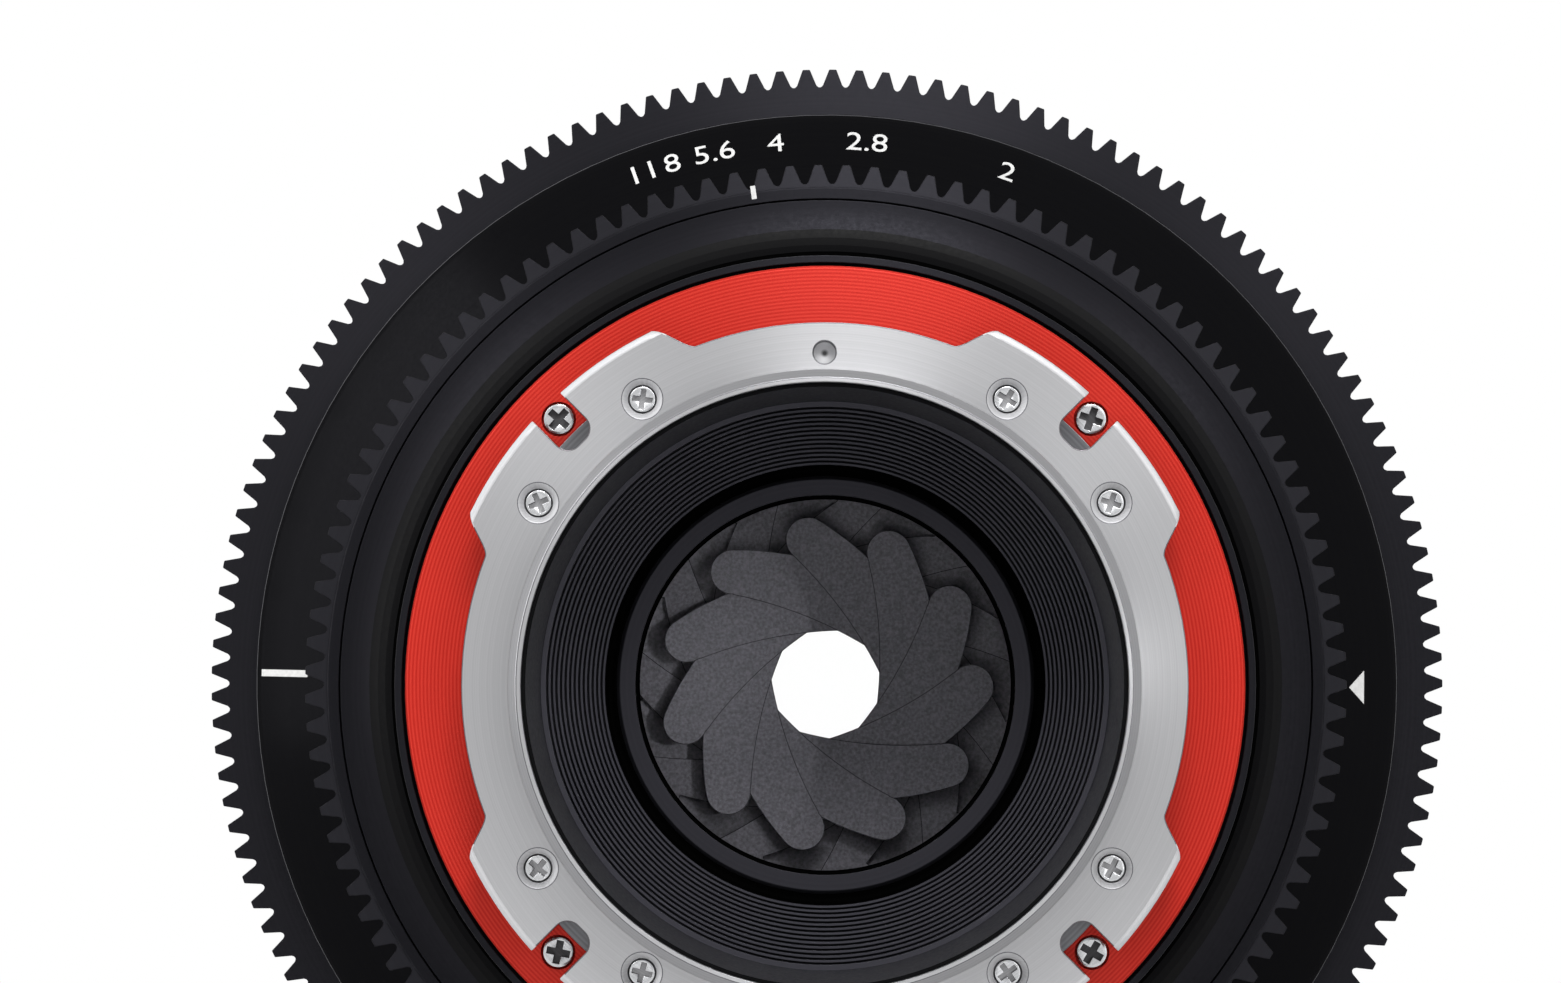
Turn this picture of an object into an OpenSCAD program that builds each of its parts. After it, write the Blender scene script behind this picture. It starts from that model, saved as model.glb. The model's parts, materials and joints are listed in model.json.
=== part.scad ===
// Cinema prime lens with a four-lug mount, module 0.8 focus and iris gears and an eleven-blade iris.
// World frame: the optical axis is Y, the mount looks to -Y, +Z is up, and the origin is the centre of
// the mount's seating face. Every piece is drawn round its own Z axis, which then points to the front.

/* [Mount] */
// Outer diameter of the barrel that enters the camera
mount_barrel_d = 54; // [53:0.1:55]
// Length of that barrel behind the seating face
mount_barrel_len = 6; // [5:0.5:9]
// Wall of that barrel
mount_barrel_wall = 1.15; // [1:0.05:1.5]
// Lead-in at the barrel's end, measured along the radius
mount_lead_in = 0.7; // [0.4:0.05:0.8]
// Diameter over the four lugs
lug_d = 68; // [66:0.5:70]
// Diameter in the valleys between the lugs
valley_d = 62.6; // [62:0.1:64]
// Thickness of the lugs
lug_t = 3; // [2.5:0.1:4]
// Angle that the full-radius top of a lug spans
lug_top_angle = 37; // [30:1:42]
// Angle that the foot of a lug spans
lug_foot_angle = 49; // [46:1:56]
// Edge break on the lugs
lug_edge = 0.6; // [0.3:0.1:0.9]
// Width of the locating slot in each lug
slot_w = 3.4; // [3:0.1:4]
// Distance of the slot's bottom from the axis
slot_bottom_r = 29.6; // [29.2:0.1:30.2]
// Corner radius of the slot
slot_corner_r = 1.3; // [0.5:0.1:1.4]
// Diameter of the hub in front of the lugs
hub_d = 61.8; // [61.4:0.1:62.4]
// Length of the hub inside its seat
hub_seat = 1; // [0.6:0.1:1.6]
// Room between lugs and collar for the camera's locking ring
lock_gap = 3; // [2:0.1:4]
// Thickness of the shim under the hub
shim_t = 0.15; // [0.1:0.05:0.4]
// Diameter of the index hole in the seating face
index_hole_d = 1.95; // [1.5:0.05:2.2]
// Distance of the index hole from the axis
index_hole_r = 28.7; // [28.4:0.1:29.2]
// Depth of the index hole
index_hole_depth = 1; // [0.6:0.1:1.6]

/* [Mount screws] */
// Distance of the flange screws from the axis
flange_screw_r = 29.25; // [29.15:0.05:29.4]
// Angle between the two flange screws of a lug
flange_screw_spread = 25; // [22:1:28]
// Thread diameter of the mount's screws
mount_screw_d = 2; // [1.6:0.1:2.2]
// Head diameter of the mount's screws
mount_screw_head_d = 2.4; // [2.3:0.05:2.6]
// Head height of the mount's screws
mount_screw_head_h = 0.9; // [0.7:0.05:1]
// Depth of a flange screw's head below the face
flange_screw_sink = 0.5; // [0.3:0.1:0.8]
// Diameter of the conical sink at the face
flange_sink_d = 3.5; // [3.2:0.1:3.6]
// Depth of thread that the mount's screws take in the housing
mount_screw_bite = 3; // [2:0.1:3.4]
// Distance of the collar screws from the axis
collar_screw_r = 32.8; // [32.7:0.1:33.6]
// Diameter of the sunk hole round a collar screw's head
collar_sink_d = 3; // [2.8:0.1:3.2]

/* [Collar] */
// Diameter of the coloured collar
collar_d = 73.2; // [72.6:0.1:74]
// Thickness of the collar
collar_t = 2; // [1.6:0.1:2.6]

/* [Rear housing] */
// Gap between collar and rim
rim_gap = 0.3; // [0.2:0.05:0.5]
// Width of the thin rim round the collar
rim_w = 0.6; // [0.5:0.05:1]
// Length from the rim to the aperture ring
cove_len = 16; // [14:0.5:20]
// Width of the land between cove and aperture ring
cove_land = 0.5; // [0.3:0.1:1]
// Thickness of the disc that carries the mount
disc_t = 3.85; // [3.6:0.05:5]
// Bore of that disc
disc_bore_d = 52.4; // [52.2:0.1:53]
// Diameter of the neck under the aperture ring
neck_d = 85.9; // [85.5:0.1:86.3]
// Wall of the neck
neck_wall = 4.45; // [4.2:0.05:4.6]
// Height of the lip that locates the aperture ring
lip_h = 0.65; // [0.4:0.05:0.8]
// Thickness of that lip
lip_t = 1; // [0.8:0.1:2]

/* [Throat baffle] */
// Wall of the baffle at its rear rim
baffle_rim = 0.35; // [0.25:0.05:0.6]
// Radius at the front end of the smooth throat wall
throat_r = 24.6; // [24.4:0.1:24.9]
// Length of the smooth throat wall
throat_len = 8.5; // [6:0.5:10]
// Width of the light step behind the grooves
throat_step = 0.45; // [0.3:0.05:0.6]
// Number of grooves
groove_count = 13; // [8:1:16]
// Radius of the last ridge
groove_end_r = 19.5; // [19.3:0.1:20.2]
// Length of the grooved cone
groove_len = 11; // [9:0.5:12]
// Depth of each groove behind its ridge
groove_depth = 1.2; // [0.9:0.1:1.6]

/* [Gears] */
// Module of both gears
gear_module = 0.8; // [0.8:0.01:0.81]
// Depth of a tooth
tooth_depth = 1.7; // [1.4:0.1:1.8]
// Teeth on the aperture ring
iris_teeth = 115; // [114:1:120]
// Teeth on the focus ring
focus_teeth = 145; // [142:1:155]
// Width of the aperture ring's gear
iris_gear_w = 9; // [6:0.5:10]
// Width of the focus ring's gear
focus_gear_w = 10; // [8:0.5:14]

/* [Aperture ring] */
// Length of the aperture ring
iris_ring_len = 15.4; // [14:0.1:18]
// Diameter of its scale band
iris_band_d = 91; // [90:0.1:92]
// Step of its rear rim behind the teeth
iris_rim_step = 0.4; // [0.2:0.1:0.8]
// Turn of the aperture ring from closed to open
iris_throw = 40; // [36:1:44]
// Place of the drive pin along the ring
iris_pin_along = 11; // [10.5:0.1:12.5]
// Diameter of the drive pin
iris_pin_d = 2.4; // [2:0.1:2.6]

/* [Main barrel] */
// Length of the index band in front of the aperture ring
band_len = 6.5; // [6:0.1:9]
// Diameter of the index band
band_d = 92.6; // [92:0.1:94]
// Diameter of the shoulder
shoulder_d = 108; // [106:0.5:109]
// Length from the index band's rear face to the shoulder's front face
shoulder_len = 17.8; // [17:0.1:20]
// Length of the shoulder's cylindrical rim
shoulder_rim = 5.3; // [4:0.1:6]
// Rounding of the shoulder's rear edge
shoulder_edge = 0.5; // [0.3:0.1:0.8]
// Thickness of the inner ledge
ledge_t = 3; // [2.6:0.1:4]
// Wall of the tube under the focus ring
tube_wall = 3.45; // [3:0.05:3.6]
// Thread diameter of the screws between housing and barrel
barrel_screw_d = 2.5; // [2:0.1:2.6]
// Number of those screws
barrel_screw_count = 6; // [4:2:6]
// Depth of thread that they take
barrel_screw_bite = 7; // [5:0.5:8]

/* [Focus ring] */
// Length of the focus ring
focus_ring_len = 28.6; // [26:0.1:34]
// Diameter of its scale band
focus_band_d = 111; // [110:0.5:112]
// Gap between the shoulder and the focus ring's rear face, on the radius
focus_seam = 0.4; // [0.3:0.05:0.6]
// Depth of that gap
focus_seam_depth = 0.8; // [0.5:0.1:1.2]
// Turn of the focus ring from far to near
focus_throw = 200; // [180:5:220]
// Travel of the focus group
focus_travel = 7; // [5:0.5:8]
// Place of the drive pin along the ring
focus_pin_along = 5; // [4.5:0.5:8]
// Diameter of the drive pin
focus_pin_d = 3; // [2.4:0.1:3.4]

/* [Front ring] */
// Front diameter, where a matte box clamps
front_d = 114; // [112:0.5:116]
// Length of the front ring
front_len = 9; // [8:0.5:14]
// Inner diameter of its front rim
front_rim_d = 106; // [102:0.5:108]
// Length of the barrel's tube inside the front ring
tube_grip = 4; // [3:0.5:5]
// Gap between the front cell's head and the fixed baffle round it
front_baffle_gap = 0.8; // [0.5:0.1:1.5]
// Length of the fixed baffle
front_baffle_len = 8; // [6:0.5:9]

/* [Focus group] */
// Bore of the sliding carrier
carrier_bore_d = 62; // [61.6:0.1:62.4]
// Wall of the carrier's sleeve
carrier_wall = 2; // [1.8:0.1:2.2]
// Distance from the ledge's front face back to the carrier's rear end
carrier_back = 9; // [8.5:0.5:10]
// Distance from the ledge's front face to the carrier's front end
carrier_front = 23; // [22:0.5:24]
// Wall of the helicoid sleeve
helicoid_wall = 3; // [2.6:0.1:3.2]
// Length of the helicoid sleeve
sleeve_len = 18; // [14:0.5:18.5]
// Thickness of the web between both sleeves
web_t = 3; // [2:0.2:4]
// Wall of the turning helicoid ring
helicoid_ring_wall = 3.45; // [3.2:0.05:3.6]
// Length of the turning helicoid ring
helicoid_ring_len = 26; // [25.5:0.5:27]
// Thickness of its thrust washer
washer_t = 1; // [0.6:0.1:1.2]
// Length of its retainer
helicoid_retainer_len = 2.9; // [2:0.1:3.2]
// Width of the guide keys
key_w = 4; // [3:0.1:5]
// Radial height of the guide keys
key_h = 2.9; // [2.6:0.1:3.2]
// Length of the guide keys in front of the ledge
key_len = 29; // [26:0.5:30]
// Radial depth of the iris fork
fork_depth = 2.8; // [2.2:0.1:2.9]
// Width of the iris fork
fork_w = 6; // [5.5:0.1:7]

/* [Iris] */
// Number of blades
blade_count = 11; // [9:1:11]
// Turn of the whole iris as seen from behind
iris_phase = -69.7; // [-90:0.1:90]
// Opening radius as drawn
open_rest_r = 4.9; // [4:0.1:6]
// Opening radius when stopped down
open_min_r = 1.8; // [1.8:0.1:2.4]
// Opening radius when wide open
open_max_r = 11.3; // [11:0.1:11.3]
// Radius of a blade's inner edge
blade_inner_r = 38.8; // [37:0.1:41]
// Radius of a blade's outer edge
blade_outer_r = 27.6; // [27:0.1:28.4]
// Width of a blade at its middle
blade_w = 5.5; // [5.3:0.1:5.7]
// Radius of a blade's round tip
blade_tip_r = 2.07; // [2:0.01:2.2]
// Thickness of a blade
blade_t = 0.05; // [0.03:0.01:0.05]
// Rise of a blade per millimetre of its length
blade_rise = 0.08; // [0.078:0.001:0.084]
// Distance of the blade pivots from the axis
pivot_r = 18.6; // [18.4:0.1:19]
// Distance along the blade from its middle to its pivot
pivot_along = 18.2; // [17.8:0.1:18.3]
// Radius of the blade's pivot end
pivot_end_r = 2.2; // [1.8:0.1:2.4]
// Diameter of the pivot pin
pivot_pin_d = 1.2; // [0.8:0.1:1.4]
// Diameter of the cam pin
cam_pin_d = 0.9; // [0.8:0.1:1]
// Distance between pivot pin and cam pin
cam_arm = 5; // [4.8:0.1:5.2]
// Direction of the cam arm in the blade's own frame
cam_arm_angle = 152; // [150:0.1:154]
// Depth of the blade chamber
chamber_depth = 3.5; // [3.4:0.1:4]
// Radius of the blade chamber
chamber_r = 28.05; // [27.9:0.05:28.6]
// Thickness of the pivot plate
plate_t = 2; // [1.6:0.1:2.4]
// Radius of the light hole in the pivot plate
plate_hole_r = 11.5; // [11.4:0.1:11.5]
// Thickness of the drive ring
drive_t = 2.1; // [1.6:0.1:2.6]
// Thickness of the iris cover
cover_t = 1; // [0.8:0.1:1.6]

/* [Rear glass] */
// Radius of the rear elements
rear_glass_r = 18.2; // [18:0.05:18.3]
// Wall of the rear cell
rear_cell_wall = 3.3; // [2.6:0.1:3.6]
// Flange thickness of the rear cell
rear_flange_t = 1.5; // [1.2:0.1:2]
// Height of the seat that stops the rear glass
rear_seat = 0.3; // [0.2:0.05:0.35]
// Clear radius of the rear retaining ring
rear_clear_r = 16.9; // [16.6:0.05:17.1]
// Outer radius of the rear retaining ring
rear_retainer_r = 18.6; // [18.5:0.05:19]
// Length of the rear retaining ring
rear_retainer_len = 3; // [2.4:0.1:3.2]

/* [Front glass] */
// Radius of the first element
front_glass_r = 31; // [30.5:0.1:31.2]
// Radius of the second element
second_glass_r = 27.5; // [27:0.1:27.8]
// How far the second element's seat lies behind the doublet's crown
second_seat_sink = 2.5; // [2:0.1:3]
// Radius of the front doublet
doublet_r = 24; // [23.6:0.1:24.4]
// Wall of the front cell's head outside its retaining ring
front_head_wall = 2.48; // [2:0.02:2.8]
// Wall of the front retaining ring
front_retainer_wall = 2.2; // [1.8:0.1:2.6]
// Length of the front retaining ring
front_retainer_len = 3.1; // [2.4:0.1:4]

/* [Fits] */
// Running clearance of turning and sliding fits, on the radius
slip = 0.05; // [0.03:0.01:0.08]
// Clearance of screwed and pushed fits, on the radius
fit = 0.02; // [0.01:0.01:0.04]
// Room round a piece that passes through a window
room = 0.4; // [0.3:0.05:0.5]

/* [Hidden] */
$fn = 96;
// Cut that runs clear past a face
past = 1;
// Number of lugs and the place of the first, seen from behind
lug_count = 4;
lug_phase = 45;

// Places along the axis, from the seating face to the front
z_collar = lug_t + lock_gap;
z_floor = z_collar + collar_t;
z_hub = z_floor + hub_seat;
z_seat = z_hub + shim_t;
z_disc = z_seat + disc_t;
z_iris = z_collar + cove_len;
z_lip = z_iris + lip_t;
z_iris_front = z_iris + iris_ring_len;
z_band = z_iris_front + 2 * slip;
z_neck = z_band + band_len;
z_ledge = z_neck + ledge_t;
z_shoulder = z_band + shoulder_len;
z_focus = z_shoulder + slip;
z_focus_front = z_focus + focus_ring_len;
z_front = z_focus_front + slip;
z_tube = z_front + tube_grip;
z_front_end = z_front + front_len;
z_iris_pin = z_iris + iris_pin_along;
z_focus_pin = z_focus + focus_pin_along;

// Radii of the mount
barrel_r = mount_barrel_d / 2;
bore_r = barrel_r - mount_barrel_wall;
lug_r = lug_d / 2;
valley_r = valley_d / 2;
hub_r = hub_d / 2;
rim_in_r = collar_d / 2 + rim_gap;
rim_out_r = rim_in_r + rim_w;
screw_r = mount_screw_d / 2;
head_r = mount_screw_head_d / 2;

// Radii of housing and rings
neck_r = neck_d / 2;
cavity_r = neck_r - neck_wall;
lip_r = neck_r + lip_h;
cove_r = lip_r - cove_land - rim_out_r;
rear_cavity_r = rim_in_r - 1.4;
iris_tip_r = gear_module * (iris_teeth + 2) / 2;
focus_tip_r = gear_module * (focus_teeth + 2) / 2;
band_r = band_d / 2;
shoulder_r = shoulder_d / 2;
front_r = front_d / 2;

// Radii of the focus drive, from the carrier outwards
carrier_bore_r = carrier_bore_d / 2;
carrier_r = carrier_bore_r + carrier_wall;
fork_in_r = carrier_r + room;
fork_out_r = fork_in_r + fork_depth;
ledge_r = norm([fork_out_r, fork_w / 2]) + room;
key_in_r = ledge_r + 2 * slip;
key_out_r = key_in_r + key_h;
keyway = 0.7;
sleeve_in_r = key_out_r - keyway + slip;
sleeve_out_r = sleeve_in_r + helicoid_wall;
helicoid_in_r = sleeve_out_r + slip;
helicoid_out_r = helicoid_in_r + helicoid_ring_wall;
tube_in_r = helicoid_out_r + slip;
tube_out_r = tube_in_r + tube_wall;
focus_bore_r = tube_out_r + slip;

// Focus group along the axis
z_carrier = z_ledge - carrier_back;
z_carrier_front = z_ledge + carrier_front;
z_cup = z_carrier + rear_flange_t;
z_plate = z_cup + chamber_depth;
z_drive = z_plate + plate_t;
z_cover = z_drive + drive_t + 2 * slip;
z_shelf = z_cover + cover_t;
shelf_t = 1;
z_sleeve = z_ledge + washer_t + 0.5;
z_web = z_sleeve + 0.5;
z_washer = z_ledge + washer_t;
z_helicoid = z_washer + slip;
z_helicoid_front = z_helicoid + helicoid_ring_len;

// Barrel screws
barrel_screw_r = barrel_screw_d / 2;
barrel_head_r = barrel_screw_r + 0.85;
barrel_head_h = 1.4;
barrel_screw_circle = neck_r - neck_wall / 2;

// Iris geometry. In a blade's own frame x points away from the axis at the blade's middle and y runs
// towards the pivot; turning about +Z opens the iris.
blade_pitch = 360 / blade_count;
pivot = [sqrt(pivot_r * pivot_r - pivot_along * pivot_along), pivot_along];
inner_centre = [open_rest_r - blade_inner_r, 0];
outer_centre = [open_rest_r + blade_w - blade_outer_r, 0];
centre_arm = norm(inner_centre - pivot);
// Blade turn that gives an opening radius, counted from the drawn position
function centre_angle(opening) =
    acos((pow(blade_inner_r - opening, 2) - pivot_r * pivot_r - centre_arm * centre_arm)
         / (2 * pivot_r * centre_arm));
function blade_turn(opening) = centre_angle(opening) - centre_angle(open_rest_r);
turn_min = blade_turn(open_min_r);
turn_max = blade_turn(open_max_r);
iris_ratio = (turn_max - turn_min) / iris_throw;
iris_min = turn_min / iris_ratio;
iris_max = turn_max / iris_ratio;
function turned(p, a) = [p[0] * cos(a) - p[1] * sin(a), p[0] * sin(a) + p[1] * cos(a)];
function cam_at(turn) = pivot + cam_arm * [cos(cam_arm_angle + turn), sin(cam_arm_angle + turn)];
// Centre of the round tip, tangent to both edges of the blade
tip_span = outer_centre[0] - inner_centre[0];
tip_a = blade_inner_r + blade_tip_r;
tip_b = blade_outer_r - blade_tip_r;
tip_x = (tip_a * tip_a - tip_b * tip_b + tip_span * tip_span) / (2 * tip_span);
tip = [inner_centre[0] + tip_x, -sqrt(tip_a * tip_a - tip_x * tip_x)];
tip_slope = atan2(tip[1], tip[0] - outer_centre[0]);
z_pivot = z_plate - room;
cam_pad_r = cam_pin_d / 2 + 0.4;
cam_room = 0.06;
// Path of the cam pin in the drive ring's own frame
slot_steps = 20;
function slot_at(i) =
    let (drive = iris_min + (iris_max - iris_min) * i / slot_steps)
    turned(cam_at(iris_ratio * drive), -drive);

// Fork of the drive ring, straight below the axis at the drawn position
fork_phase = 90;
iris_pin_r = iris_pin_d / 2;
z_fork = z_iris_pin - iris_pin_r - room - focus_travel - 0.5;
fork_half = asin((fork_w / 2 + room) / carrier_bore_r);
focus_pin_r = focus_pin_d / 2;
focus_phase = 160;
iris_band_edge = 0.3;

// Glass: curvature radii and places of the faces
function sag(R, r) = R - sqrt(R * R - r * r);
// A hollow face ends in a flat rim, on which the element sits
hollow_rim = 0.5;
function hollow(R, r) = sag(R, r - hollow_rim);
cement = 0.02;
spacer_wall = 0.7;
R_front_1 = 70;
R_front_2 = 50;
R_back_2 = 90;
R_front_3 = 60;
R_back_4 = 60;
R_front_5 = 45;
R_back_6 = 50;
R_front_7 = 90;
R_back_7 = 120;
R_front_8 = 75;
R_back_8 = 250;
// Thickness of the glass: at the edge for hollow faces, at the middle for the others
edge_5 = 1.15;
middle_6 = 4.8;
middle_7 = 4.6;
middle_8 = 3.7;
edge_4 = 1.6;
edge_3 = 1.5;
edge_2 = 1.5;
edge_1 = 1.8;
rear_air = 0.5;
front_air = 0.8;
// Rear glass, from the seat backwards
z_rear_seat = z_cup - 1;
z5_front = z_rear_seat;
z5_cement = z5_front - hollow(R_front_5, rear_glass_r) - edge_5;
z6_front = z5_cement - cement;
z6_back = z6_front - middle_6;
z7_front = z6_back - rear_air;
z7_back = z7_front - middle_7;
z8_front = z7_back - rear_air;
z8_back = z8_front - middle_8;
spacer_in_r = rear_glass_r - spacer_wall;
z_rear_stop = z8_back + sag(R_back_8, spacer_in_r) - fit;
z_rear_end = z_rear_stop - rear_retainer_len;
z_rear_cell = z_rear_end + 0.4;
// Front glass, from the iris forwards
z_front_cell = z_shelf + shelf_t;
front_lip_t = 1;
doublet_lip = 2.5;
z_doublet = z_front_cell + front_lip_t;
z4_cement = z_doublet + hollow(R_back_4, doublet_r) + edge_4;
z3_back = z4_cement + cement;
z3_front = z3_back + edge_3 + sag(R_front_3, doublet_r);
z_second = z3_front - second_seat_sink;
z2_back = z_second + hollow(R_back_2, second_glass_r);
z2_front = z_second + edge_2 + sag(R_front_2, second_glass_r);
z_first = z2_front + front_air;
z1_front = z_first + edge_1 + sag(R_front_1, front_glass_r);
doublet_ring_in = doublet_r - 1.5;
second_ring_in = second_glass_r - 1.5;
front_ring_in = front_glass_r - 1.2;
z_doublet_ring = z3_front - sag(R_front_3, doublet_ring_in) + fit;
z_second_ring = z2_front - sag(R_front_2, second_ring_in) + fit;
z_front_ring = z1_front - sag(R_front_1, front_ring_in) + fit;
second_ring_len = 2.5;
front_ring_r = front_ring_in + front_retainer_wall;
front_head_r = front_ring_r + fit + front_head_wall;

function blade_name(i) = str("blade_", i < 9 ? "0" : "", i + 1);

// Turns a piece drawn round Z so that its Z axis points to the front of the lens
module placed() rotate([-90, 0, 0]) children();
// Turns by an angle counted anticlockwise as seen from behind the mount
module seen_at(angle) rotate([0, 0, -angle]) children();
module revolve(points) rotate_extrude() polygon(points);
module sector(points, from, to) rotate([0, 0, from]) rotate_extrude(angle = to - from) polygon(points);
function ring_points(r_in, r_out, z0, z1) = [[r_in, z0], [r_out, z0], [r_out, z1], [r_in, z1]];
module ring(r_in, r_out, z0, z1) revolve(ring_points(r_in, r_out, z0, z1));
module rod(r, z0, z1) translate([0, 0, z0]) cylinder(r = r, h = z1 - z0);
// Rod along the radius at an angle, from one radius to another
module radial_rod(r, angle, z, from, to)
    rotate([0, 0, angle]) translate([from, 0, z]) rotate([0, 90, 0]) cylinder(r = r, h = to - from);

// Screw with a flat round head and a cross recess; its head looks to -Z and starts at Z 0
module screw(thread_r, top_r, top_h, length) {
    recess_w = top_r * 0.4;
    recess_len = top_r * 1.5;
    recess_depth = top_h * 0.6;
    difference() {
        union() {
            rod(top_r, 0, top_h);
            rod(thread_r, 0, length);
        }
        for (turn = [0, 90])
            rotate([0, 0, turn])
                translate([-recess_len / 2, -recess_w / 2, -past])
                    cube([recess_len, recess_w, recess_depth + past]);
    }
}

module at_flange_screws()
    for (lug = [0 : lug_count - 1], side = [-0.5, 0.5])
        seen_at(lug_phase + lug * 360 / lug_count + side * flange_screw_spread)
            translate([flange_screw_r, 0, 0]) children();

module at_lugs()
    for (lug = [0 : lug_count - 1]) seen_at(lug_phase + lug * 360 / lug_count) children();

// Outline of the flange: four lugs whose flanks run down to the valleys in a soft S
function flank(t) = t * t * (3 - 2 * t);
module lug_outline() {
    steps = 16;
    overshoot = 0.04;
    flank_angle = (lug_foot_angle - lug_top_angle) / 2;
    drop = lug_r - valley_r + 2 * overshoot;
    function flank_point(i, side) =
        let (a = side * (lug_top_angle / 2 + flank_angle * i / steps))
        (lug_r + overshoot - drop * flank(i / steps)) * [cos(a), sin(a)];
    circle(r = valley_r);
    intersection() {
        circle(r = lug_r);
        at_lugs()
            polygon(concat(
                [[0, 0]],
                [for (i = [steps : -1 : 0]) flank_point(i, -1)],
                [[lug_r * 1.1, 0]],
                [for (i = [0 : steps]) flank_point(i, 1)]));
    }
}

module mount_flange() color("silver") placed() {
    sink_depth = flange_screw_sink;
    difference() {
        union() {
            revolve([
                [bore_r, -mount_barrel_len], [barrel_r - mount_lead_in, -mount_barrel_len],
                [barrel_r, -mount_barrel_len + mount_lead_in * 1.4], [barrel_r, lug_t / 2],
                [hub_r, lug_t / 2], [hub_r, z_hub], [bore_r, z_hub]]);
            difference() {
                linear_extrude(lug_t) lug_outline();
                rod(barrel_r - mount_barrel_wall / 2, -past, lug_t + past);
            }
        }
        revolve([[lug_r - lug_edge, -past], [lug_r + past, -past], [lug_r + past, lug_edge / 2],
                 [lug_r, lug_edge / 2], [lug_r - lug_edge, 0]]);
        at_lugs() translate([0, 0, -past]) linear_extrude(lug_t + past) {
            translate([slot_bottom_r, slot_corner_r - slot_w / 2]) square([lug_r, slot_w - 2 * slot_corner_r]);
            translate([slot_bottom_r + slot_corner_r, -slot_w / 2]) square([lug_r, slot_w]);
            for (side = [-1, 1])
                translate([slot_bottom_r + slot_corner_r, side * (slot_w / 2 - slot_corner_r)])
                    circle(r = slot_corner_r);
        }
        at_flange_screws() {
            translate([0, 0, -past / 2]) rod(screw_r + fit, 0, z_hub + past);
            rod(head_r + fit, -past, sink_depth + mount_screw_head_h);
            translate([0, 0, -fit])
                cylinder(r1 = flange_sink_d / 2, r2 = head_r + fit, h = sink_depth + fit);
        }
        seen_at(90) translate([index_hole_r, 0, 0]) {
            rod(index_hole_d / 2, -past, index_hole_depth);
            translate([0, 0, index_hole_depth])
                cylinder(r1 = index_hole_d / 2, r2 = 0, h = index_hole_d / 3);
        }
    }
}

module flange_screws() color("gainsboro") placed()
    at_flange_screws()
        translate([0, 0, flange_screw_sink])
            screw(screw_r, head_r, mount_screw_head_h, z_seat + mount_screw_bite - flange_screw_sink);

module mount_collar() color("firebrick") placed() {
    edge = 0.2;
    difference() {
        revolve([[hub_r + fit, z_collar], [collar_d / 2 - edge, z_collar], [collar_d / 2, z_collar + edge],
                 [collar_d / 2, z_floor], [hub_r + fit, z_floor]]);
        at_lugs() translate([collar_screw_r, 0, 0]) {
            rod(screw_r + fit, z_collar - past, z_floor + past);
            rod(collar_sink_d / 2, z_collar - past, z_collar + mount_screw_head_h + fit);
        }
    }
}

module collar_screws() color("gainsboro") placed()
    at_lugs() translate([collar_screw_r, 0, z_collar + fit])
        screw(screw_r, head_r, mount_screw_head_h, collar_t + mount_screw_bite);

module flange_shim() color("goldenrod") placed()
    difference() {
        ring(disc_bore_d / 2, hub_r, z_hub, z_seat);
        at_flange_screws() rod(screw_r + room / 2, z_hub - past, z_seat + past);
    }

module rear_housing() color("#1c1c1e") placed() {
    bite = mount_screw_bite + 0.3;
    // Cove between the rim and the aperture ring, a quarter of a hollow round
    steps = 20;
    cove = [for (i = [0 : steps])
        [rim_out_r + cove_r * (1 - cos(90 * i / steps)), z_iris - cove_r * (1 - sin(90 * i / steps))]];
    difference() {
        revolve(concat(
            [[disc_bore_d / 2, z_seat], [hub_r + fit, z_seat], [hub_r + fit, z_floor], [rim_in_r, z_floor],
             [rim_in_r, z_collar], [rim_out_r, z_collar]],
            cove,
            [[lip_r, z_iris], [lip_r, z_lip], [neck_r, z_lip], [neck_r, z_neck], [cavity_r, z_neck],
             [cavity_r, z_iris - lip_t], [rear_cavity_r, z_iris - 2 * lip_t], [rear_cavity_r, z_disc],
             [disc_bore_d / 2, z_disc]]));
        at_flange_screws() rod(screw_r + fit, z_seat - past, z_seat + bite);
        at_lugs() translate([collar_screw_r, 0, 0]) rod(screw_r + fit, z_floor - past, z_floor + bite);
        at_barrel_screws() rod(barrel_screw_r + fit, z_neck - barrel_screw_bite - 0.5, z_neck + past);
        // Slot for the aperture ring's drive pin
        drive_slot(iris_pin_r + room, z_iris_pin, cavity_r - past, lip_r + past, fork_phase + iris_min,
                   fork_phase + iris_max);
    }
}

// Slot round the axis for a radial pin of radius r that turns from one angle to another
module drive_slot(r, z, r_in, r_out, from, to) {
    end = asin(r / r_in);
    sector(ring_points(r_in, r_out, z - r, z + r), from - end, to + end);
}

module at_barrel_screws()
    for (i = [0 : barrel_screw_count - 1])
        rotate([0, 0, (i + 0.5) * 360 / barrel_screw_count])
            translate([barrel_screw_circle, 0, 0]) children();

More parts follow.
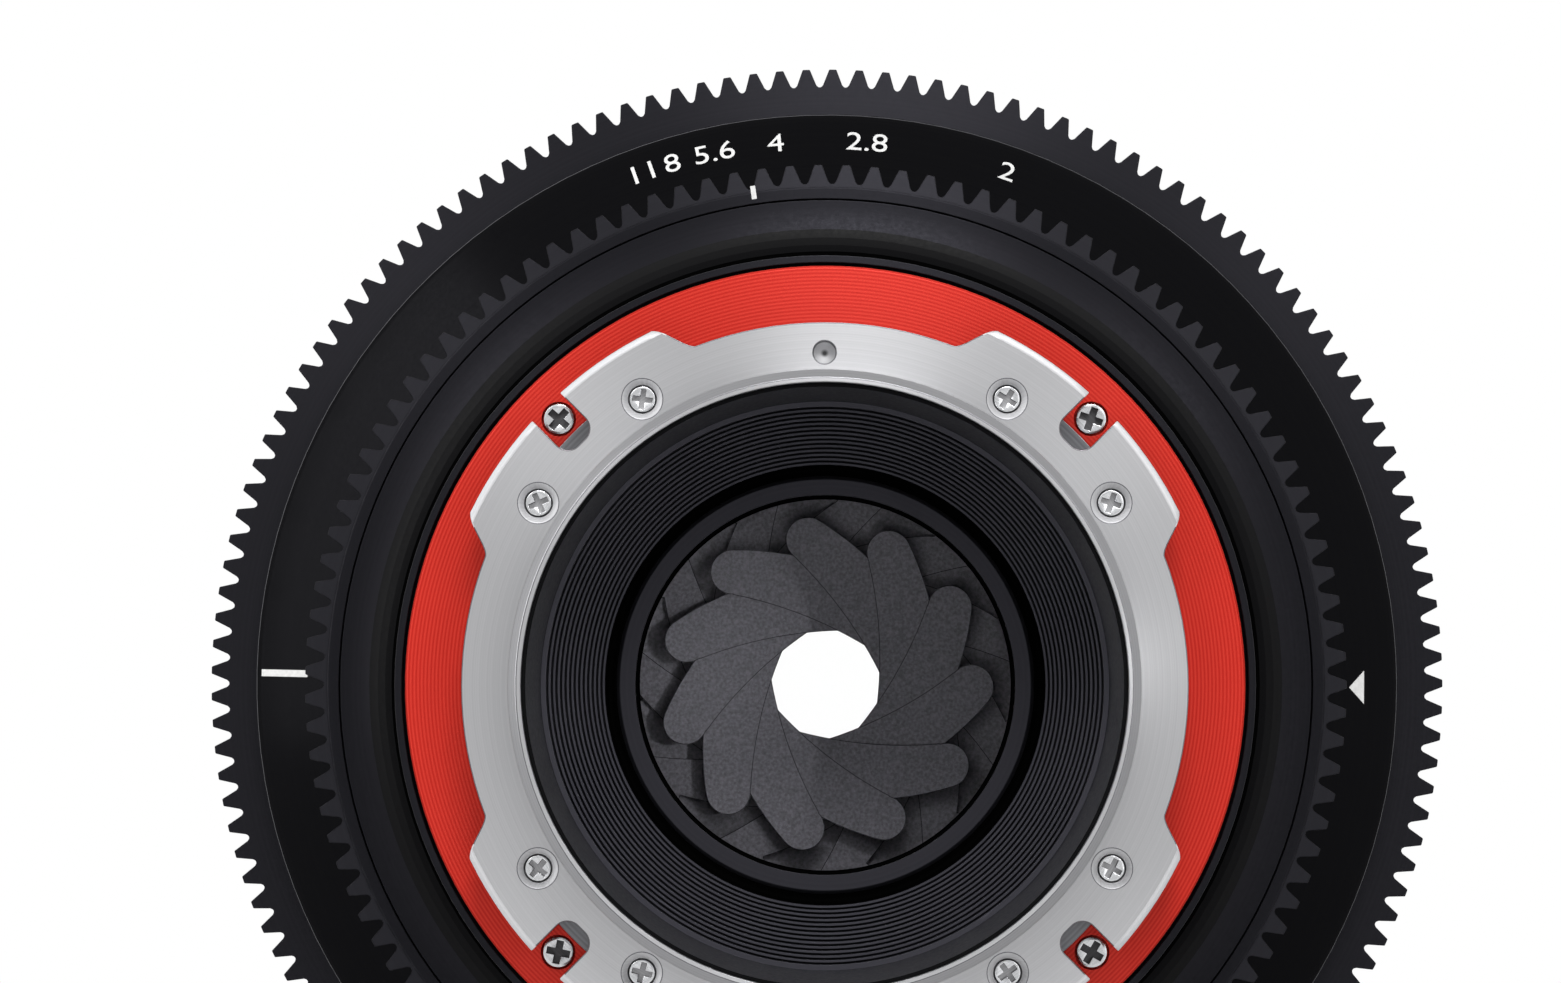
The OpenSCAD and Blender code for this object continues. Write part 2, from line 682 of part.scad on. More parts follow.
module rear_baffle() color("#26262a") placed() {
    z_start = -mount_barrel_len + 0.5;
    z_grooves = z_start + throat_len;
    pitch_r = (throat_r - throat_step - groove_end_r) / groove_count;
    pitch_z = groove_len / groove_count;
    ridge = 0.55 * pitch_r;
    shell = 1.2;
    out_r = bore_r - fit;
    start_r = throat_r - throat_step;
    revolve(concat(
        [[out_r, z_start], [out_r - baffle_rim, z_start], [throat_r, z_grooves], [start_r, z_grooves]],
        [for (i = [0 : groove_count - 1])
            let (r = start_r - i * pitch_r, z = z_grooves + i * pitch_z)
            each [[r, z + groove_depth], [r - pitch_r + ridge, z + groove_depth],
                  [r - pitch_r + ridge, z + pitch_z], [r - pitch_r, z + pitch_z]]],
        [[groove_end_r, z_grooves + groove_len + groove_depth],
         [groove_end_r + shell, z_grooves + groove_len + groove_depth],
         [throat_r + shell / 2, z_hub], [out_r, z_hub - shell]]));
}

module main_barrel() color("#141416") placed() {
    cone_z = z_shoulder - shoulder_rim;
    groove = 0.6;
    difference() {
        revolve([
            [neck_r + fit, z_band], [band_r - 0.2, z_band], [band_r, z_band + 0.2],
            [band_r, z_neck], [shoulder_r - shoulder_edge, cone_z], [shoulder_r, cone_z + shoulder_edge],
            [shoulder_r, z_shoulder], [tube_out_r, z_shoulder], [tube_out_r, z_tube], [tube_in_r, z_tube],
            [tube_in_r, z_ledge], [ledge_r, z_ledge], [ledge_r, z_neck], [neck_r + fit, z_neck]]);
        at_barrel_screws() {
            rod(barrel_screw_r + fit, z_neck - past, z_ledge + past);
            rod(barrel_head_r + fit, z_ledge - barrel_head_h, z_ledge + past);
        }
        // Slot that lets the focus drive pin turn
        drive_slot(focus_pin_r + room, z_focus_pin, tube_in_r - past, tube_out_r + past, focus_phase,
                   focus_phase + focus_throw);
        for (angle = [0, 180])
            rotate([0, 0, angle])
                translate([ledge_r - past, -key_w / 2 - fit, z_neck + groove])
                    cube([key_out_r + fit - ledge_r + past, key_w + 2 * fit, ledge_t]);
    }
}

module barrel_screws() color("dimgray") placed()
    at_barrel_screws()
        translate([0, 0, z_ledge]) mirror([0, 0, 1])
            screw(barrel_screw_r, barrel_head_r, barrel_head_h, ledge_t + barrel_screw_bite);

module guide_keys() color("darkgoldenrod") placed() {
    foot = 0.6;
    for (angle = [0, 180])
        rotate([0, 0, angle])
            translate([key_in_r, -key_w / 2, z_neck + foot])
                cube([key_h, key_w, ledge_t - foot + key_len]);
}

module helicoid_washer() color("khaki") placed()
    ring(helicoid_in_r + 0.3, tube_in_r - 0.1, z_ledge, z_washer);

module helicoid_ring() color("tan") placed()
    difference() {
        ring(helicoid_in_r, helicoid_out_r, z_helicoid, z_helicoid_front);
        radial_rod(focus_pin_r + fit, focus_phase, z_focus_pin, helicoid_in_r + 0.6, helicoid_out_r + past);
    }

module helicoid_retainer() color("#303034") placed()
    ring(helicoid_in_r + 0.5, tube_in_r - fit, z_helicoid_front + slip,
         z_helicoid_front + slip + helicoid_retainer_len);

module focus_drive_pin() color("gray") placed()
    radial_rod(focus_pin_r, focus_phase, z_focus_pin, helicoid_in_r + 0.7, focus_bore_r + 3.4);

// Toothed wheel with straight-sided teeth, flat tips and broken root corners
module gear(teeth, tip_r, width) {
    pitch = 360 / teeth;
    root_r = tip_r - tooth_depth;
    knee = 0.12 * tooth_depth;
    profile = [[-0.45, root_r], [-0.37, root_r + knee], [-0.135, tip_r],
               [0.135, tip_r], [0.37, root_r + knee], [0.45, root_r]];
    linear_extrude(width)
        polygon([for (i = [0 : teeth - 1], p = profile)
            p[1] * [cos((i + p[0]) * pitch), sin((i + p[0]) * pitch)]]);
}

module focus_ring() color("#1a1a1c") placed() {
    band_r = focus_band_d / 2;
    edge = 0.4;
    root_r = focus_tip_r - tooth_depth;
    difference() {
        union() {
            translate([0, 0, z_focus]) gear(focus_teeth, focus_tip_r, focus_gear_w);
            revolve([
                [focus_bore_r - past, z_focus + past], [root_r - edge, z_focus + past],
                [root_r - edge, z_focus + focus_gear_w], [root_r - edge, z_focus + focus_gear_w + edge],
                [band_r, z_focus + focus_gear_w + 3 * edge], [band_r, z_focus_front - edge],
                [band_r - edge, z_focus_front], [focus_bore_r - past, z_focus_front]]);
        }
        rod(focus_bore_r, z_focus - past, z_focus_front + past);
        rod(shoulder_r + focus_seam, z_focus - past, z_focus + focus_seam_depth);
        radial_rod(focus_pin_r + fit, focus_phase, z_focus_pin, focus_bore_r - past, focus_bore_r + 3.5);
    }
}

module iris_ring() color("#1a1a1c") placed() {
    band_r = iris_band_d / 2;
    root_r = iris_tip_r - tooth_depth;
    edge = iris_band_edge;
    rim_edge = iris_rim_step / 4;
    difference() {
        union() {
            translate([0, 0, z_iris + iris_rim_step])
                gear(iris_teeth, iris_tip_r, iris_gear_w - iris_rim_step);
            revolve([
                [neck_r - past, z_iris], [root_r - edge - rim_edge, z_iris], [root_r - edge, z_iris + rim_edge],
                [root_r - edge, z_iris + iris_gear_w + edge], [band_r, z_iris + iris_gear_w + 3 * edge],
                [band_r, z_iris_front - edge], [band_r - edge, z_iris_front], [neck_r - past, z_iris_front]]);
        }
        rod(neck_r + slip, z_iris - past, z_iris_front + past);
        rod(lip_r + 3 * slip, z_iris - past, z_lip + slip);
        radial_rod(iris_pin_r + fit, fork_phase, z_iris_pin, neck_r - past, band_r + past);
    }
}

module iris_drive_pin() color("gray") placed()
    radial_rod(iris_pin_r, fork_phase, z_iris_pin, fork_in_r + room, iris_band_d / 2 - 0.3);

module front_baffle() color("#202024") placed() {
    steps = 5;
    shell = 1.4;
    rim_r = tube_in_r - fit;
    in_r = front_head_r + front_baffle_gap;
    z0 = z_tube - front_baffle_len;
    pitch_r = (rim_r - 1 - in_r) / steps;
    pitch_z = 5 / steps;
    revolve(concat(
        [[rim_r, z_tube], [rim_r - 1, z_tube]],
        [for (i = [0 : steps - 1])
            let (r = rim_r - 1 - i * pitch_r, z = z_tube - i * pitch_z)
            each [[r, z - pitch_z], [r - pitch_r, z - pitch_z]]],
        [[in_r, z0], [in_r + shell, z0], [rim_r - shell, z_tube - 5], [rim_r, z_tube - 5]]));
}

module front_barrel() color("#161618") placed() {
    edge = 0.5;
    lip = 1.5;
    rim_r = front_rim_d / 2;
    revolve([
        [tube_out_r + fit, z_front], [front_r - edge, z_front], [front_r, z_front + edge],
        [front_r, z_front_end - edge], [front_r - edge, z_front_end], [rim_r, z_front_end],
        [rim_r, z_front_end - lip], [tube_in_r + 0.3, z_tube + lip], [tube_in_r + 0.3, z_tube],
        [tube_out_r + fit, z_tube]]);
}

module focus_carrier() color("#3a3a3e") placed()
    difference() {
        union() {
            ring(carrier_bore_r, carrier_r, z_carrier, z_carrier_front);
            ring(carrier_bore_r - 4, carrier_r, z_shelf, z_shelf + shelf_t);
            ring(carrier_r - carrier_wall / 2, sleeve_in_r + helicoid_wall / 2, z_web, z_web + web_t);
            ring(sleeve_in_r, sleeve_out_r, z_sleeve, z_sleeve + sleeve_len);
        }
        // Window for the fork of the iris drive ring
        sector(ring_points(carrier_bore_r - past, carrier_r + past, z_drive - room, z_cover + room / 2),
               fork_phase + iris_min - fork_half, fork_phase + iris_max + fork_half);
        for (angle = [0, 180])
            rotate([0, 0, angle])
                translate([key_in_r - room, -key_w / 2 - slip, z_sleeve - past])
                    cube([key_h + room + slip, key_w + 2 * slip, sleeve_len + 2 * past]);
    }

// Lens element between two vertices; a curvature is positive where its face bulges out, 0 where flat
module element(r, z_back, z_front, R_back, R_front) {
    fine = 480;
    back_dip = R_back < 0 ? hollow(-R_back, r) : 0;
    front_dip = R_front < 0 ? hollow(-R_front, r) : 0;
    difference() {
        intersection() {
            rod(r, z_back - back_dip, z_front + front_dip);
            if (R_back > 0) translate([0, 0, z_back + R_back]) sphere(r = R_back, $fn = fine);
            if (R_front > 0) translate([0, 0, z_front - R_front]) sphere(r = R_front, $fn = fine);
        }
        if (R_back < 0) translate([0, 0, z_back + R_back]) sphere(r = -R_back, $fn = fine);
        if (R_front < 0) translate([0, 0, z_front - R_front]) sphere(r = -R_front, $fn = fine);
    }
}

module lens_1() color("lightblue") placed() element(front_glass_r, z_first, z1_front, 0, R_front_1);
module lens_2() color("lightblue") placed() element(second_glass_r, z2_back, z2_front, -R_back_2, R_front_2);
module lens_3() color("lightcyan") placed() element(doublet_r, z3_back, z3_front, 0, R_front_3);
module lens_4() color("lightcyan") placed()
    element(doublet_r, z_doublet + hollow(R_back_4, doublet_r), z4_cement, -R_back_4, 0);
module lens_5() color("lightcyan") placed()
    element(rear_glass_r, z5_cement, z5_front - hollow(R_front_5, rear_glass_r), 0, -R_front_5);
module lens_6() color("lightcyan") placed() element(rear_glass_r, z6_back, z6_front, R_back_6, 0);
module lens_7() color("lightblue") placed() element(rear_glass_r, z7_back, z7_front, R_back_7, R_front_7);
module lens_8() color("lightblue") placed() element(rear_glass_r, z8_back, z8_front, R_back_8, R_front_8);

module rear_cell() color("#18181a") placed() {
    bore = rear_glass_r + fit;
    out_r = bore + rear_cell_wall;
    revolve([
        [rear_retainer_r + fit, z_rear_cell], [out_r - 0.5, z_rear_cell], [out_r, z_rear_cell + 0.5],
        [out_r, z_carrier], [carrier_bore_r - fit, z_carrier], [carrier_bore_r - fit, z_cup],
        [bore - rear_seat, z_cup], [bore - rear_seat, z_rear_seat], [bore, z_rear_seat],
        [bore, z_rear_stop + fit], [rear_retainer_r + fit, z_rear_stop + fit]]);
}

module rear_retainer() color("#2c2c30") placed()
    revolve([
        [rear_clear_r, z_rear_end], [rear_retainer_r - 0.3, z_rear_end], [rear_retainer_r, z_rear_end + 0.3],
        [rear_retainer_r, z_rear_stop], [spacer_in_r - 0.2, z_rear_stop - 0.2], [rear_clear_r, z_rear_end + 1]]);

module rear_spacer(front_z, R_ahead, back_z, R_behind)
    ring(spacer_in_r, rear_glass_r, back_z - sag(R_behind, spacer_in_r) + fit,
         front_z + sag(R_ahead, spacer_in_r) - fit);

module rear_spacer_1() color("#202022") placed() rear_spacer(z6_back, R_back_6, z7_front, R_front_7);
module rear_spacer_2() color("#202022") placed() rear_spacer(z7_back, R_back_7, z8_front, R_front_8);

module front_cell() color("#1e1e20") placed() {
    out_r = carrier_bore_r - fit;
    lip_in = doublet_r - doublet_lip;
    head_bore = front_ring_r + fit;
    z_head = z_front_ring + front_retainer_len;
    revolve([
        [lip_in, z_front_cell], [out_r, z_front_cell], [out_r, z_carrier_front],
        [front_head_r, z_carrier_front], [front_head_r, z_head - 0.4], [front_head_r - 0.4, z_head],
        [head_bore, z_head], [head_bore, z_front_ring - fit], [front_glass_r + fit, z_front_ring - fit],
        [front_glass_r + fit, z_first], [second_glass_r + fit, z_first], [second_glass_r + fit, z_second],
        [doublet_r + fit, z_second], [doublet_r + fit, z_doublet], [lip_in, z_doublet]]);
}

module front_retainer() color("#232326") placed() {
    flare = 1;
    revolve([
        [front_ring_in, z_front_ring], [front_ring_r, z_front_ring],
        [front_ring_r, z_front_ring + front_retainer_len],
        [front_ring_in + flare, z_front_ring + front_retainer_len],
        [front_ring_in, z_front_ring + flare]]);
}

module second_retainer() color("#232326") placed()
    ring(second_ring_in, second_glass_r, z_second_ring, z_second_ring + second_ring_len);

module doublet_retainer() color("#232326") placed()
    ring(doublet_ring_in, doublet_r, z_doublet_ring, z_second - 0.2);

module at_blades()
    for (i = [0 : blade_count - 1]) seen_at(iris_phase + i * blade_pitch) children();

module iris_base() color("#2a2a2e") placed()
    difference() {
        union() {
            ring(chamber_r, carrier_bore_r - fit, z_cup, z_cover);
            ring(plate_hole_r, chamber_r + past, z_plate, z_drive);
        }
        at_blades() {
            translate(pivot) rod(pivot_pin_d / 2 + slip, z_plate - past, z_drive + past);
            // Kidney window that the cam pin swings in
            translate(pivot) {
                window_r = cam_pin_d / 2 + room;
                sector(ring_points(cam_arm - window_r, cam_arm + window_r, z_plate - past, z_drive + past),
                       cam_arm_angle + turn_min, cam_arm_angle + turn_max);
                for (turn = [turn_min, turn_max])
                    rotate([0, 0, cam_arm_angle + turn])
                        translate([cam_arm, 0, 0]) rod(window_r + slip, z_plate - past, z_drive + past);
            }
        }
        sector(ring_points(chamber_r - past, carrier_bore_r + past, z_drive, z_cover + past),
               fork_phase + iris_min - fork_half, fork_phase + iris_max + fork_half);
    }

module iris_cover() color("#303034") placed() ring(plate_hole_r, carrier_bore_r - fit, z_cover, z_shelf);

// Slotted ring that swings all blades at once; the fork takes the aperture ring's pin
module iris_drive_ring() color("#4a4a50") placed() {
    z0 = z_drive + slip;
    z1 = z0 + drive_t;
    half = cam_pin_d / 2 + cam_room;
    path = [for (i = [0 : slot_steps]) slot_at(i)];
    side = [for (i = [0 : slot_steps])
        let (d = path[min(i + 1, slot_steps)] - path[max(i - 1, 0)])
        half * [-d[1], d[0]] / norm(d)];
    difference() {
        union() {
            ring(plate_hole_r + 0.2, chamber_r - slip, z0, z1);
            rotate([0, 0, fork_phase - 90])
                translate([-fork_w / 2, chamber_r - 2, z0]) cube([fork_w, fork_out_r - chamber_r + 2, drive_t]);
            rotate([0, 0, fork_phase - 90])
                translate([-fork_w / 2, fork_in_r, z_fork]) cube([fork_w, fork_depth, z1 - z_fork]);
        }
        at_blades() translate([0, 0, z0 - past]) linear_extrude(drive_t + 2 * past) {
            polygon(concat(path + side, [for (i = [slot_steps : -1 : 0]) path[i] - side[i]]));
            for (i = [0, slot_steps]) translate(path[i]) circle(r = half);
        }
        rotate([0, 0, fork_phase - 90])
            translate([-iris_pin_r - slip, fork_in_r - past, z_fork - past])
                cube([iris_pin_d + 2 * slip, fork_depth + 2 * past, z_iris_pin + iris_pin_r + room - z_fork + past]);
    }
}

// Blade outline: a crescent between two arcs, a round tip, a round pivot end and the short cam arm
module blade_outline() {
    reach = 2 * blade_outer_r;
    difference() {
        intersection() {
            translate(outer_centre) circle(r = blade_outer_r);
            translate(tip) rotate(tip_slope) translate([-reach / 2, 0]) square(reach);
            translate([-reach / 2, pivot[1] - reach]) square(reach);
        }
        translate(inner_centre) circle(r = blade_inner_r);
    }
    translate(tip) circle(r = blade_tip_r);
    translate(pivot) circle(r = pivot_end_r);
    translate(pivot) rotate(cam_arm_angle) translate([0, -cam_pad_r]) square([cam_arm, 2 * cam_pad_r]);
    translate(cam_at(0)) circle(r = cam_pad_r);
}

// Thin blade that climbs from its pivot towards the rear, so that all blades lie over each other
module blade(i) color("slategray") placed()
    seen_at(iris_phase + i * blade_pitch) {
        translate([0, pivot[1], z_pivot]) rotate([atan(blade_rise), 0, 0])
            translate([0, -pivot[1], -blade_t / 2]) linear_extrude(blade_t) blade_outline();
        translate(pivot) rod(pivot_pin_d / 2, z_pivot, z_drive - slip);
        translate(cam_at(0)) rod(cam_pin_d / 2, z_pivot + blade_rise * (cam_at(0)[1] - pivot[1]), z_cover - 2 * slip);
    }

mount_flange();
flange_screws();
mount_collar();
collar_screws();
flange_shim();
rear_housing();
rear_baffle();
main_barrel();
barrel_screws();
guide_keys();
helicoid_washer();
helicoid_retainer();
front_baffle();
front_barrel();
focus_ring();
focus_drive_pin();
helicoid_ring();
focus_carrier();
front_cell();
front_retainer();
second_retainer();
doublet_retainer();
rear_cell();
rear_retainer();
rear_spacer_1();
rear_spacer_2();
lens_1();
lens_2();
lens_3();
lens_4();
lens_5();
lens_6();
lens_7();
lens_8();
iris_base();
iris_cover();
iris_drive_ring();
iris_ring();
iris_drive_pin();
for (i = [0 : blade_count - 1])
    blade(i);
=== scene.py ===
# %% [markdown]
# Cinema prime lens, seen from its mount.
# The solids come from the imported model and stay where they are. This lesson gives them edges, finishes,
# screws, scales and light. Everything is in metres: the optical axis is Y, the mount looks to -Y, +Z is up.

# %% Load the frame
import json
import math

import bpy
from mathutils import Matrix, Vector


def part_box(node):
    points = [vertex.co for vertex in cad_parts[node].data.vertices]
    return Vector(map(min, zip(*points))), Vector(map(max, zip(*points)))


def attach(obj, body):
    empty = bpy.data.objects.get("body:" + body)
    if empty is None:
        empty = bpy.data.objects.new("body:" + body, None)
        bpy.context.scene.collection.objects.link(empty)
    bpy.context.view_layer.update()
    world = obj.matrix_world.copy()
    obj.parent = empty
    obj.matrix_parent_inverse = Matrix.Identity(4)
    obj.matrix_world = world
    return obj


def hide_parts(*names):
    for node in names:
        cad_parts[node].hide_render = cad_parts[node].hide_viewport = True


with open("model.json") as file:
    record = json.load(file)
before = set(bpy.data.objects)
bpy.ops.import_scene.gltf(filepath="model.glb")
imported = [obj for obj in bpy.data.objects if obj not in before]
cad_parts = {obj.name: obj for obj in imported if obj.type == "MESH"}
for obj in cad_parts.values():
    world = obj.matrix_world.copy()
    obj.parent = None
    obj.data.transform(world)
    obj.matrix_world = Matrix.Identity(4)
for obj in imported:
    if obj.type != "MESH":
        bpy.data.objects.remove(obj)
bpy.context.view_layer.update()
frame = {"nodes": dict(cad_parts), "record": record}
scene = bpy.context.scene
nodes = frame["nodes"]
MM = 0.001


# %% [markdown]
# Small helpers come first. Colours are written as the hex values that a paint chart would give and are turned
# to linear light once. One function adds a shader node, because every finish below is a short chain of them.

# %% Helpers
def linear(hex_code):
    parts = [int(hex_code[i:i + 2], 16) / 255 for i in (1, 3, 5)]
    return tuple(c / 12.92 if c <= 0.04045 else ((c + 0.055) / 1.055) ** 2.4 for c in parts) + (1.0,)


def add_node(tree, kind, inputs=None, **settings):
    made = tree.nodes.new(kind)
    for name, value in settings.items():
        setattr(made, name, value)
    for name, value in (inputs or {}).items():
        if isinstance(value, bpy.types.NodeSocket):
            tree.links.new(value, made.inputs[name])
        else:
            made.inputs[name].default_value = value
    return made


def new_material(name):
    material = bpy.data.materials.new(name)
    material.use_nodes = True
    material.node_tree.nodes.clear()
    return material, material.node_tree


def select_only(piece):
    bpy.ops.object.select_all(action="DESELECT")
    piece.select_set(True)
    bpy.context.view_layer.objects.active = piece


bpy.ops.object.select_all(action="DESELECT")
print("mid grey in linear light:", linear("#808080"))

# %% [markdown]
# The camera stands half a metre behind the mount, almost on the optical axis, and looks a little up and
# to the left, which puts the lens low in the frame. A long lens keeps the rings nearly concentric.

# %% Camera
IMAGE_W = 1561
FOCAL_PX = 5810
SENSOR = 36.0
camera_at = (1.4 * MM, -500 * MM, 1.9 * MM)
aim_at = (-3.8 * MM, 0.0, 16.7 * MM)
camera_data = bpy.data.cameras.new("camera")
camera_data.sensor_width = SENSOR
camera_data.lens = FOCAL_PX / IMAGE_W * SENSOR
camera_data.clip_start = 0.01
camera = bpy.data.objects.new("camera", camera_data)
scene.collection.objects.link(camera)
camera.location = camera_at
run = [a - c for a, c in zip(aim_at, camera_at)]
yaw = math.atan2(-run[0], run[1])
pitch = math.atan2(run[2], math.hypot(run[0], run[1]))
camera.rotation_euler = (math.pi / 2 + pitch, 0, yaw)
scene.camera = camera
scene.view_settings.view_transform = "Standard"
print("focal length:", round(camera_data.lens, 1), "mm")


# %% [markdown]
# Turned parts carry fine rings from the lathe. Three patterns serve all finishes. Feed lines are the even
# troughs that a pointed tool leaves, one per turn. Ring streaks are an uneven noise along the same path,
# the distance from the axis plus the place along it. Grain is for blasted or coated skins. All are scaled
# in millimetres.

# %% Patterns
def off_axis(tree):
    place = add_node(tree, "ShaderNodeTexCoord").outputs["Object"]
    flat = add_node(tree, "ShaderNodeVectorMath", {0: place, 1: (1, 0, 1)}, operation="MULTIPLY")
    return place, flat.outputs[0]


def tool_path(tree):
    place, flat = off_axis(tree)
    radius = add_node(tree, "ShaderNodeVectorMath", {0: flat}, operation="LENGTH").outputs["Value"]
    along = add_node(tree, "ShaderNodeSeparateXYZ", {0: place}).outputs["Y"]
    return add_node(tree, "ShaderNodeMath", {0: radius, 1: along}, operation="ADD").outputs[0]


def feed_lines(tree, pitch_mm):
    half = pitch_mm * MM / 2
    turn = add_node(tree, "ShaderNodeMath", {0: tool_path(tree), 1: half}, operation="PINGPONG").outputs[0]
    return add_node(tree, "ShaderNodeMath", {0: turn, 1: half}, operation="DIVIDE").outputs[0]


def ring_streaks(tree, pitch_mm):
    noise = {"W": tool_path(tree), "Scale": 1 / (pitch_mm * MM), "Detail": 2.0}
    return add_node(tree, "ShaderNodeTexNoise", noise, noise_dimensions="1D").outputs["Fac"]


def grain(tree, size_mm, detail=3.0):
    place = add_node(tree, "ShaderNodeTexCoord").outputs["Object"]
    noise = {"Vector": place, "Scale": 1 / (size_mm * MM), "Detail": detail}
    return add_node(tree, "ShaderNodeTexNoise", noise).outputs["Fac"]


def across_lines(tree):
    flat = off_axis(tree)[1]
    outward = add_node(tree, "ShaderNodeVectorMath", {0: flat}, operation="NORMALIZE").outputs[0]
    return add_node(tree, "ShaderNodeVectorMath", {0: outward, 1: (0, 1, 0)}, operation="ADD").outputs[0]


# Noise gathers round the middle of its range, so finishes stretch this part of it to the whole
MIDDLE = {"From Min": 0.3, "From Max": 0.7}
print("patterns:", [f.__name__ for f in (feed_lines, ring_streaks, grain, across_lines)])


# %% [markdown]
# A finish is one Principled shader. Turned metal is anisotropic: each line is a tiny trough round the
# axis, so it spreads light across itself and hardly along itself. The direction across the lines is
# outwards on a flat face and along the axis on a cylinder, and the sum of both serves every face.

# %% Turned finish
SKIN_GRAIN = 0.35
COOL = "#EEECFF"


def turned_finish(name, dark, light, rough, lines_mm, depth_mm, metallic=0.0, stretch=0.0, shine=0.5,
                  even=False, tint="#FFFFFF", mottle=0.05):
    material, tree = new_material(name)
    lines = feed_lines(tree, lines_mm) if even else ring_streaks(tree, lines_mm)
    skin = grain(tree, SKIN_GRAIN)
    share = add_node(tree, "ShaderNodeMapRange", {**MIDDLE, "Value": lines})
    color = add_node(tree, "ShaderNodeMix", {
        "Factor": share.outputs["Result"], "A": linear(dark), "B": linear(light)}, data_type="RGBA")
    roughness = add_node(tree, "ShaderNodeMapRange", {
        **MIDDLE, "Value": skin, "To Min": rough - mottle, "To Max": rough + mottle})
    relief = add_node(tree, "ShaderNodeMath", {0: skin, 1: mottle * 20, 2: lines}, operation="MULTIPLY_ADD")
    normal = add_node(tree, "ShaderNodeBump", {
        "Height": relief.outputs[0], "Distance": depth_mm * MM, "Strength": 0.3})
    shader = add_node(tree, "ShaderNodeBsdfPrincipled", {
        "Base Color": color.outputs["Result"], "Metallic": metallic, "Roughness": roughness.outputs["Result"],
        "Specular IOR Level": shine, "Specular Tint": linear(tint), "Anisotropic": stretch,
        "Tangent": across_lines(tree), "Normal": normal.outputs["Normal"]})
    add_node(tree, "ShaderNodeOutputMaterial", {"Surface": shader.outputs[0]})
    return material


print("skin grain:", SKIN_GRAIN, "mm")

# %% [markdown]
# The mount is stainless steel. The lathe leaves its flat faces satin, the lead-in is ground, the edges
# and the slot floors are painted darker as shade, and the screw sinks keep the dull skin of the cutter.
# The screws are bright steel with painted shade in their recesses.

# %% Steel and brass
# Stainless steel, fine turned and satin: a light grey with soft ring-shaped streaks
satin_steel = turned_finish("stainless_steel_turned", "#A6A6A8", "#ADADAF", 0.29, 0.16, 0.001, metallic=1.0,
                            stretch=0.85, mottle=0.012)
# The same steel on the lead-in of the mount, ground a shade duller
ground_steel = turned_finish("stainless_steel_ground", "#8C8C8F", "#979799", 0.30, 0.16, 0.002, metallic=1.0,
                             stretch=0.4, mottle=0.012)
# The same steel painted darker on the bevels and the slot floors: painted shade for the shadowed walls
edge_steel_shade = turned_finish("stainless_steel_edge_painted_shade", "#5C5C5F", "#6A6A6D", 0.35, 0.2, 0.001, metallic=1.0,
                           mottle=0.02)
# The same steel in the screw sinks and on the lugs' outer chamfer, left dull by the cutter
sunk_steel = turned_finish("stainless_steel_sunk", "#AAAAAC", "#B4B4B6", 0.50, 0.2, 0.002, metallic=0.4,
                           mottle=0.02)
# Steel of the small screws, bright and nearly polished
screw_steel = turned_finish("steel_bright_screw", "#B4B5B7", "#C2C3C5", 0.24, 0.2, 0.001, metallic=1.0)
# The same steel painted dark in the walls of a screw's recess: painted shade
screw_recess_shade = turned_finish("steel_recess_painted_shade", "#3C3C3E", "#4C4C4E", 0.50, 0.2, 0.002, metallic=0.6)
# The floor of a shallow recess, painted a lighter shade than its walls, where more light reaches it
screw_floor_shade = turned_finish("steel_recess_floor_painted_shade", "#8A8A8C", "#9A9A9C", 0.40, 0.2, 0.002, metallic=0.6)
# Brass, turned and greased: the helicoid, seen only where the lens is open
brass = turned_finish("brass_turned", "#A8843C", "#C9A557", 0.30, 0.25, 0.004, metallic=1.0, stretch=0.6)
print("steel:", [m.name for m in (satin_steel, ground_steel, edge_steel_shade, sunk_steel, screw_steel)])

# %% [markdown]
# The rest of the metal is aluminium: dyed red behind the lugs and black everywhere else. The blacks
# differ in how much light they give back, from satin anodising down to flock, and that alone tells the
# rings apart.

# %% Anodised and painted aluminium
# Turned and dyed red: a deep orange red, the tool's feed of about 0.3 mm shows as fine rings
red_anodised = turned_finish("aluminium_red_anodised", "#AB2119", "#BC3126", 0.40, 0.32, 0.006, metallic=0.25,
                             stretch=0.85, shine=0.12, even=True)
# Black anodised after turning: nearly black, satin
black_anodised = turned_finish("aluminium_black_anodised", "#08080A", "#0C0C0E", 0.44, 0.25, 0.003,
                               stretch=0.9, shine=0.175, tint=COOL)
# The same on the focus ring, worn a shade lighter by the hand
grip_black = turned_finish("aluminium_grip_anodised", "#0B0B0D", "#101012", 0.44, 0.25, 0.003,
                           stretch=0.9, shine=0.23, tint=COOL)
# The same on the aperture ring's teeth, cut after turning and rubbed by the drive gear
tooth_black = turned_finish("aluminium_tooth_anodised", "#0E0E10", "#131315", 0.44, 0.25, 0.003,
                            stretch=0.9, shine=0.28, tint=COOL)
# Painted gloss black: deep black
gloss_black = turned_finish("aluminium_gloss_black", "#050506", "#070708", 0.22, 0.5, 0.001,
                            shine=0.03, tint=COOL)
# A dark grey on the barrel's bevels: a painted highlight for the light that the rim's edge catches, a dark
# grey line
barrel_edge_highlight = turned_finish("aluminium_edge_painted_highlight", "#38383B", "#444447", 0.45, 0.3, 0.001, shine=0.2)
# Painted shade between the flocked wall and the satin cove, in three steps from dull to satin
shade_steps = [
    turned_finish("aluminium_painted_shade_%d" % (i + 1), "#060607", "#080809", 0.60 - 0.06 * i, 0.25, 0.003,
                  stretch=0.3 * i, shine=0.03 + 0.03 * i)
    for i in range(3)
]
print("aluminium:", [m.name for m in (red_anodised, black_anodised, grip_black, tooth_black, gloss_black)])

